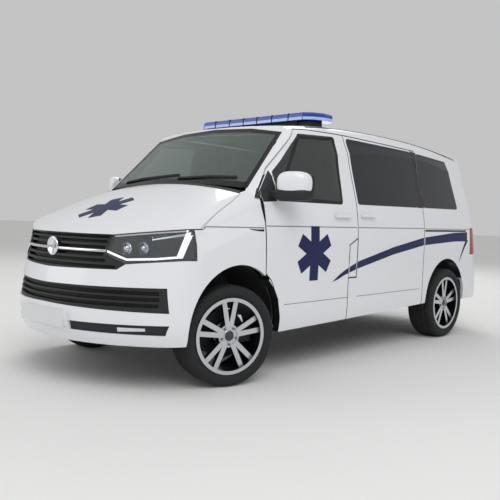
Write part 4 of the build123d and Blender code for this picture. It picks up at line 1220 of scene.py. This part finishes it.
@dataclass
class LightBar:
    """Pale lower band, dividers, seams and feet of the roof light bar, in millimetres."""

    plan: Table = ((494, 0), (494, 580), (440, 650), (340, 695), (240, 695), (190, 640), (190, 0))
    middle_x: float = 342
    grow: float = 1.003  # keeps the band just off the lens
    band: Pair = (1939, 1962)
    places: tuple[float, ...] = (-430, -250, -80, 80, 250, 430)
    # Name, both x, half width, both z and edge of the dark lines at those places.
    lines: Rows = (
        ("bar_divider", (488, 497), 5, (1939, 1990), 1.5),
        ("bar_seam", (196, 494), 4, (1994, 1999), 1))
    foot_low: Point = (262, 470, 1872)
    foot_high: Point = (428, 610, 1939)
    foot_edge: float = 8

    def build(self) -> None:
        """Adds the band, the dark lines and the feet."""
        outline = list(self.plan) + [(x, -y) for x, y in reversed(self.plan)]
        lengths = [0.0]
        for start, end in zip(outline, outline[1:]):
            lengths.append(lengths[-1] + math.dist(start, end))
        low, high = self.band

        def place(u: float, v: float) -> Vector:
            """Point of the band around the bar.

            Args:
                u: Share along it.
                v: Share across it.

            Returns:
                The point in metres.
            """
            run = u * lengths[-1]
            k = next(j for j in range(1, len(lengths)) if run <= lengths[j] + 1e-6)
            share = (run - lengths[k - 1]) / max(1e-9, lengths[k] - lengths[k - 1])
            x, y = (a + (b - a) * share for a, b in zip(outline[k - 1], outline[k]))
            return Vector(((x - self.middle_x) * self.grow + self.middle_x, y * self.grow,
                           low + (high - low) * v)) * MM

        mount(Workshop.sheet("bar_band", Finishes.PALE, 240, 2, place, weld=True), BODY)
        bars = [Workshop.block(f"{name}_{k}", Finishes.BLACK, (x[0], y - half, z[0]),
                               (x[1], y + half, z[1]), edge)
                for name, x, half, z, edge in self.lines for k, y in enumerate(self.places)]
        mount(Workshop.join("bar_dividers", bars), BODY)
        for side in Side:
            mount(Workshop.block(f"bar_foot_{side.word}", Finishes.BLACK,
                                 *side.box(self.foot_low, self.foot_high), self.foot_edge), BODY)


@dataclass
class RearEnd:
    """Handle strip, plate, wiper, high brake lamp and reflectors of the tail, in millimetres."""

    # Name, finish, node, ends across, lower and upper edge, lift and depth of each strip.
    strips: Rows = (
        ("tail_handle", Finishes.GLOSS_BLACK, "tailgate", (-330, 330), (1010, 1046), 6, 10),
        ("rear_plate", Finishes.PLATE, "tailgate", (-260, 260), (860, 970), 3, 4),
        ("high_lamp", Finishes.RED, "tailgate", (-150, 150), (1790, 1812), 3, 6),
        ("rear_wiper", Finishes.RUBBER, "tailgate_glass", (-40, 420), (1318, 1334), 8, 10),
        ("reflector_left", Finishes.RED, "rear_bumper", (640, 790), (470, 500), 1, 4),
        ("reflector_right", Finishes.RED, "rear_bumper", (-790, -640), (470, 500), 1, 4))
    edge: float = 0.25  # share of a strip's depth

    def build(self) -> None:
        """Adds the trim of the tail."""
        for name, finish, node, span, heights, lift, depth in self.strips:
            strip = Workshop.film(name, finish, (24, 3), rect(*span, *heights),
                                  Skin.on(node, Face.REAR, lift))
            mount(Workshop.thicken(strip, depth, depth * self.edge),
                  "tailgate" if node.startswith("tailgate") else BODY)


@dataclass
class WheelDress:
    """Treaded tyres, centre caps, wheel bolts and brake faces, in millimetres."""

    axles: Rows = (("front", 1544), ("rear", -1456))
    kingpin: float = 735
    half_track: float = 814
    hub_z: float = 340
    rest: float = -16  # degrees that the front wheels stand turned
    # Half section of the tyre: distance from its middle, and radius.
    section: Table = (
        (106, 250), (112, 262), (122, 274), (126.5, 292), (126, 308), (121, 322), (112, 332),
        (104, 336), (98, 338), (92, 338), (90, 339), (64, 340), (60, 333), (56, 333), (52, 340),
        (22, 340), (18, 333), (14, 333), (10, 340))
    blocks: int = 64
    block_steps: int = 4
    shoulder: Pair = (62, 336)  # cross cuts lie beyond this distance and radius
    cut: float = 4.2
    cap: Table = ((91, 36), (97, 34), (99, 28), (99, AXIS))
    cap_ring: Table = ((91, 40), (95, 40), (97, 36), (95, 34))
    bolt: Table = ((90, 10), (100, 10), (101, 8), (101, AXIS))
    bolts: int = 5
    bolt_r: float = 57
    bolt_start: float = 36
    brake: Table = ((-1, 84), (-0.5, 90), (-0.5, 160), (-1, 166))

    def _frame_of(self, axle_x: float, turn: float, side: Side) -> Matrix:
        """Local frame of a wheel turned about its kingpin, y to the outer side.

        Args:
            axle_x: Place of the axle.
            turn: Degrees that the wheel is turned.
            side: The side it is on.

        Returns:
            The frame, in metres.
        """
        out = Matrix.Rotation(math.radians(0 if side is Side.LEFT else 180), 4, "Z")
        pin = Matrix.Translation(Vector((axle_x, side.value * self.kingpin, self.hub_z)) * MM)
        steer = Matrix.Rotation(math.radians(turn), 4, "Z")
        arm = Vector((0, side.value * (self.half_track - self.kingpin), 0)) * MM
        return pin @ steer @ Matrix.Translation(arm) @ out

    def build(self) -> None:
        """Dresses the four wheels."""
        for axle, axle_x in self.axles:
            for side in Side:
                where = f"{axle}_{side.word}"
                at = self._frame_of(axle_x, self.rest if axle == "front" else 0, side)
                self._tyre(where, at)
                self._cap(where, at)

    def _tyre(self, where: str, at: Matrix) -> None:
        """One treaded tyre.

        Args:
            where: Axle and side in the names.
            at: Local frame of the wheel.
        """
        section = [*self.section, *((-y, r) for y, r in reversed(self.section))]
        count = len(section) - 1
        turns = self.blocks * self.block_steps

        def place(u: float, v: float) -> Vector:
            """Point of the tyre: cross cuts lower the shoulder blocks.

            Args:
                u: Share along it.
                v: Share across it.

            Returns:
                The point in metres.
            """
            y, radius = section[round(v * count)]
            in_cut = round(u * turns) % self.block_steps == 0
            if in_cut and abs(y) > self.shoulder[0] and radius > self.shoulder[1]:
                radius -= self.cut
            return at @ ring_point(u * math.tau, y, radius)

        tyre = Workshop.sheet(f"treaded_tyre_{where}", Finishes.TYRE, turns, count, place,
                              weld=True)
        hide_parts(f"tyre_{where}")
        mount(tyre, f"wheel_{where}")

    def _cap(self, where: str, at: Matrix) -> None:
        """Centre cap, bolts and brake face of one wheel.

        Args:
            where: Axle and side in the names.
            at: Local frame of the wheel.
        """
        parts = [Workshop.lathe(f"cap_{where}", Finishes.DARK_ALLOY, self.cap, at, 40),
                 Workshop.lathe(f"cap_ring_{where}", Finishes.CHROME, self.cap_ring, at, 40)]
        for k in range(self.bolts):
            angle = math.radians(360 / self.bolts * k + self.bolt_start)
            spot = at @ Matrix.Translation(ring_point(angle, 0, self.bolt_r))
            parts.append(Workshop.lathe(f"bolt_{where}_{k}", Finishes.STEEL, self.bolt, spot, 6))
        mount(Workshop.join(f"hub_trim_{where}", parts), f"wheel_{where}")
        mount(Workshop.lathe(f"brake_face_{where}", Finishes.BRAKE, self.brake, at, 48),
              f"wheel_{where}")


@dataclass
class Cab:
    """Padded seats in place of the plain ones, in millimetres from each seat's middle line."""

    middle_y: float = 400
    # Name, both corners, whether it leans with the back, and squareness of each cushion.
    cushions: Rows = (
        ("base", (294, -228, 706), (792, 228, 842), False, 6.0),
        ("back", (-52, -224, -22), (54, 224, 640), True, 5.0),
        ("head", (-38, -120, 664), (44, 120, 824), True, 4.0))
    hinge: Point = (245, 0, 830)
    lean: float = -10
    foot_low: Point = (320, -190, 521)
    foot_high: Point = (740, 190, 712)
    foot_edge: float = 8
    channels: Pair = (-130, 130)
    channel_half: float = 14
    channel_depth: float = 9
    voxel: float = 9
    swelling: float = 8
    fill: float = 0.75

    @staticmethod
    def _at(middle: float, *corners: Point) -> list[Point]:
        """Corners moved to a seat's middle line."""
        return [(x, y + middle, z) for x, y, z in corners]

    def build(self) -> None:
        """Adds both padded seats on their pedestals."""
        lean = (Matrix.Translation(Vector(self.hinge) * MM)
                @ Matrix.Rotation(math.radians(self.lean), 4, "Y"))
        for side in Side:
            middle = side.value * self.middle_y
            for name, low, high, leans, power in self.cushions:
                piece = Workshop.pillow(f"seat_{name}_{side.word}", Finishes.CLOTH,
                                        *self._at(middle, low, high), lean if leans else None,
                                        power)
                Workshop.swell(piece, self.voxel, self.swelling)
                if name != "head":
                    self._channels(piece, middle)
                mount(piece, BODY)
                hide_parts("front_seats")
            mount(Workshop.block(f"seat_foot_{side.word}", Finishes.TRIM,
                                 *self._at(middle, self.foot_low, self.foot_high),
                                 self.foot_edge), BODY)

    def _channels(self, piece: Piece, middle: float) -> None:
        """Draws sewn channels into a cushion along its length.

        Args:
            piece: The cushion.
            middle: Middle line of its seat.
        """
        half = self.channel_half * MM
        for vertex in piece.data.vertices:
            for offset in self.channels:
                away = abs(vertex.co.y - (middle + offset) * MM)
                if away < half:
                    vertex.co -= vertex.normal * (self.channel_depth * MM * (1 - away / half))


@dataclass
class Studio:
    """Floor, light and camera, in metres."""

    floor: float = 120
    world: float = 0.55
    # Name, place, aim, size and power in watts of each lamp.
    lamps: Rows = (
        ("key", (5.0, 6.5, 8.0), (0.5, 0, 0.8), 7.0, 430.0),
        ("fill", (8.0, -5.0, 4.5), (1.0, 0, 0.8), 6.0, 130.0),
        ("rear", (-7.0, -5.0, 7.0), (-1.0, 0, 0.9), 6.0, 300.0))
    eye_mm: Point = (4726, 3973, 1138)
    yaw: float = 222.84
    pitch: float = -2.87
    roll: float = 1.8
    focal_px: float = 662.7
    frame_px: float = 500
    sensor_mm: float = 36.0

    def build(self) -> None:
        """Sets the scene around the vehicle."""
        Workshop.sheet("studio_floor", Finishes.GROUND, 1, 1, lambda u, v: Vector(
            ((u - 0.5) * self.floor, (v - 0.5) * self.floor, 0.0)))
        self._world()
        for lamp in self.lamps:
            self._lamp(*lamp)
        self._camera()

    def _world(self) -> None:
        """Even pale surroundings."""
        world = bpy.data.worlds.new("studio")
        world.use_nodes = True
        back = world.node_tree.nodes["Background"]
        back.inputs["Color"].default_value = (1.0, 1.0, 1.0, 1.0)
        back.inputs["Strength"].default_value = self.world
        bpy.context.scene.world = world
        bpy.context.scene.view_settings.view_transform = "Standard"

    @staticmethod
    def _lamp(name: str, spot: Point, aim: Point, size: float, power: float) -> None:
        """One large soft lamp.

        Args:
            name: Name of the lamp.
            spot: Its place.
            aim: Where it points.
            size: Its width.
            power: Its power in watts.
        """
        bpy.ops.object.light_add(type="AREA", location=spot)
        lamp = bpy.context.object
        lamp.name = name
        lamp.data.size = size
        lamp.data.energy = power
        lamp.rotation_euler = (Vector(aim) - Vector(spot)).to_track_quat("-Z", "Y").to_euler()

    def _camera(self) -> None:
        """Camera at the photograph's place."""
        yaw, pitch, roll = (math.radians(a) for a in (self.yaw, self.pitch, self.roll))
        ahead = Vector((math.cos(yaw) * math.cos(pitch), math.sin(yaw) * math.cos(pitch),
                        math.sin(pitch)))
        right = Vector((math.sin(yaw), -math.cos(yaw), 0))
        above = right.cross(ahead)
        turned = right * math.cos(roll) + above * math.sin(roll)
        upright = above * math.cos(roll) - right * math.sin(roll)
        bpy.ops.object.camera_add()
        camera = bpy.context.object
        camera.name = "photo_camera"
        turn = Matrix((turned, upright, -ahead)).transposed().to_4x4()
        camera.matrix_world = Matrix.Translation(Vector(self.eye_mm) * MM) @ turn
        camera.data.sensor_width = self.sensor_mm
        camera.data.lens = self.focal_px / self.frame_px * self.sensor_mm
        bpy.context.scene.camera = camera


def main() -> None:
    """Builds the looks in order and hands the scene over."""
    logging.basicConfig(level=logging.INFO)
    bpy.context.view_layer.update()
    for part in (Frame(), Livery(), Glazing(), FrontEnd(), SideTrim(), LightBar(), RearEnd(),
                 WheelDress(), Cab(), Studio()):
        LOG.info("building %s", type(part).__name__)
        part.build()


if __name__ == "__main__":
    main()
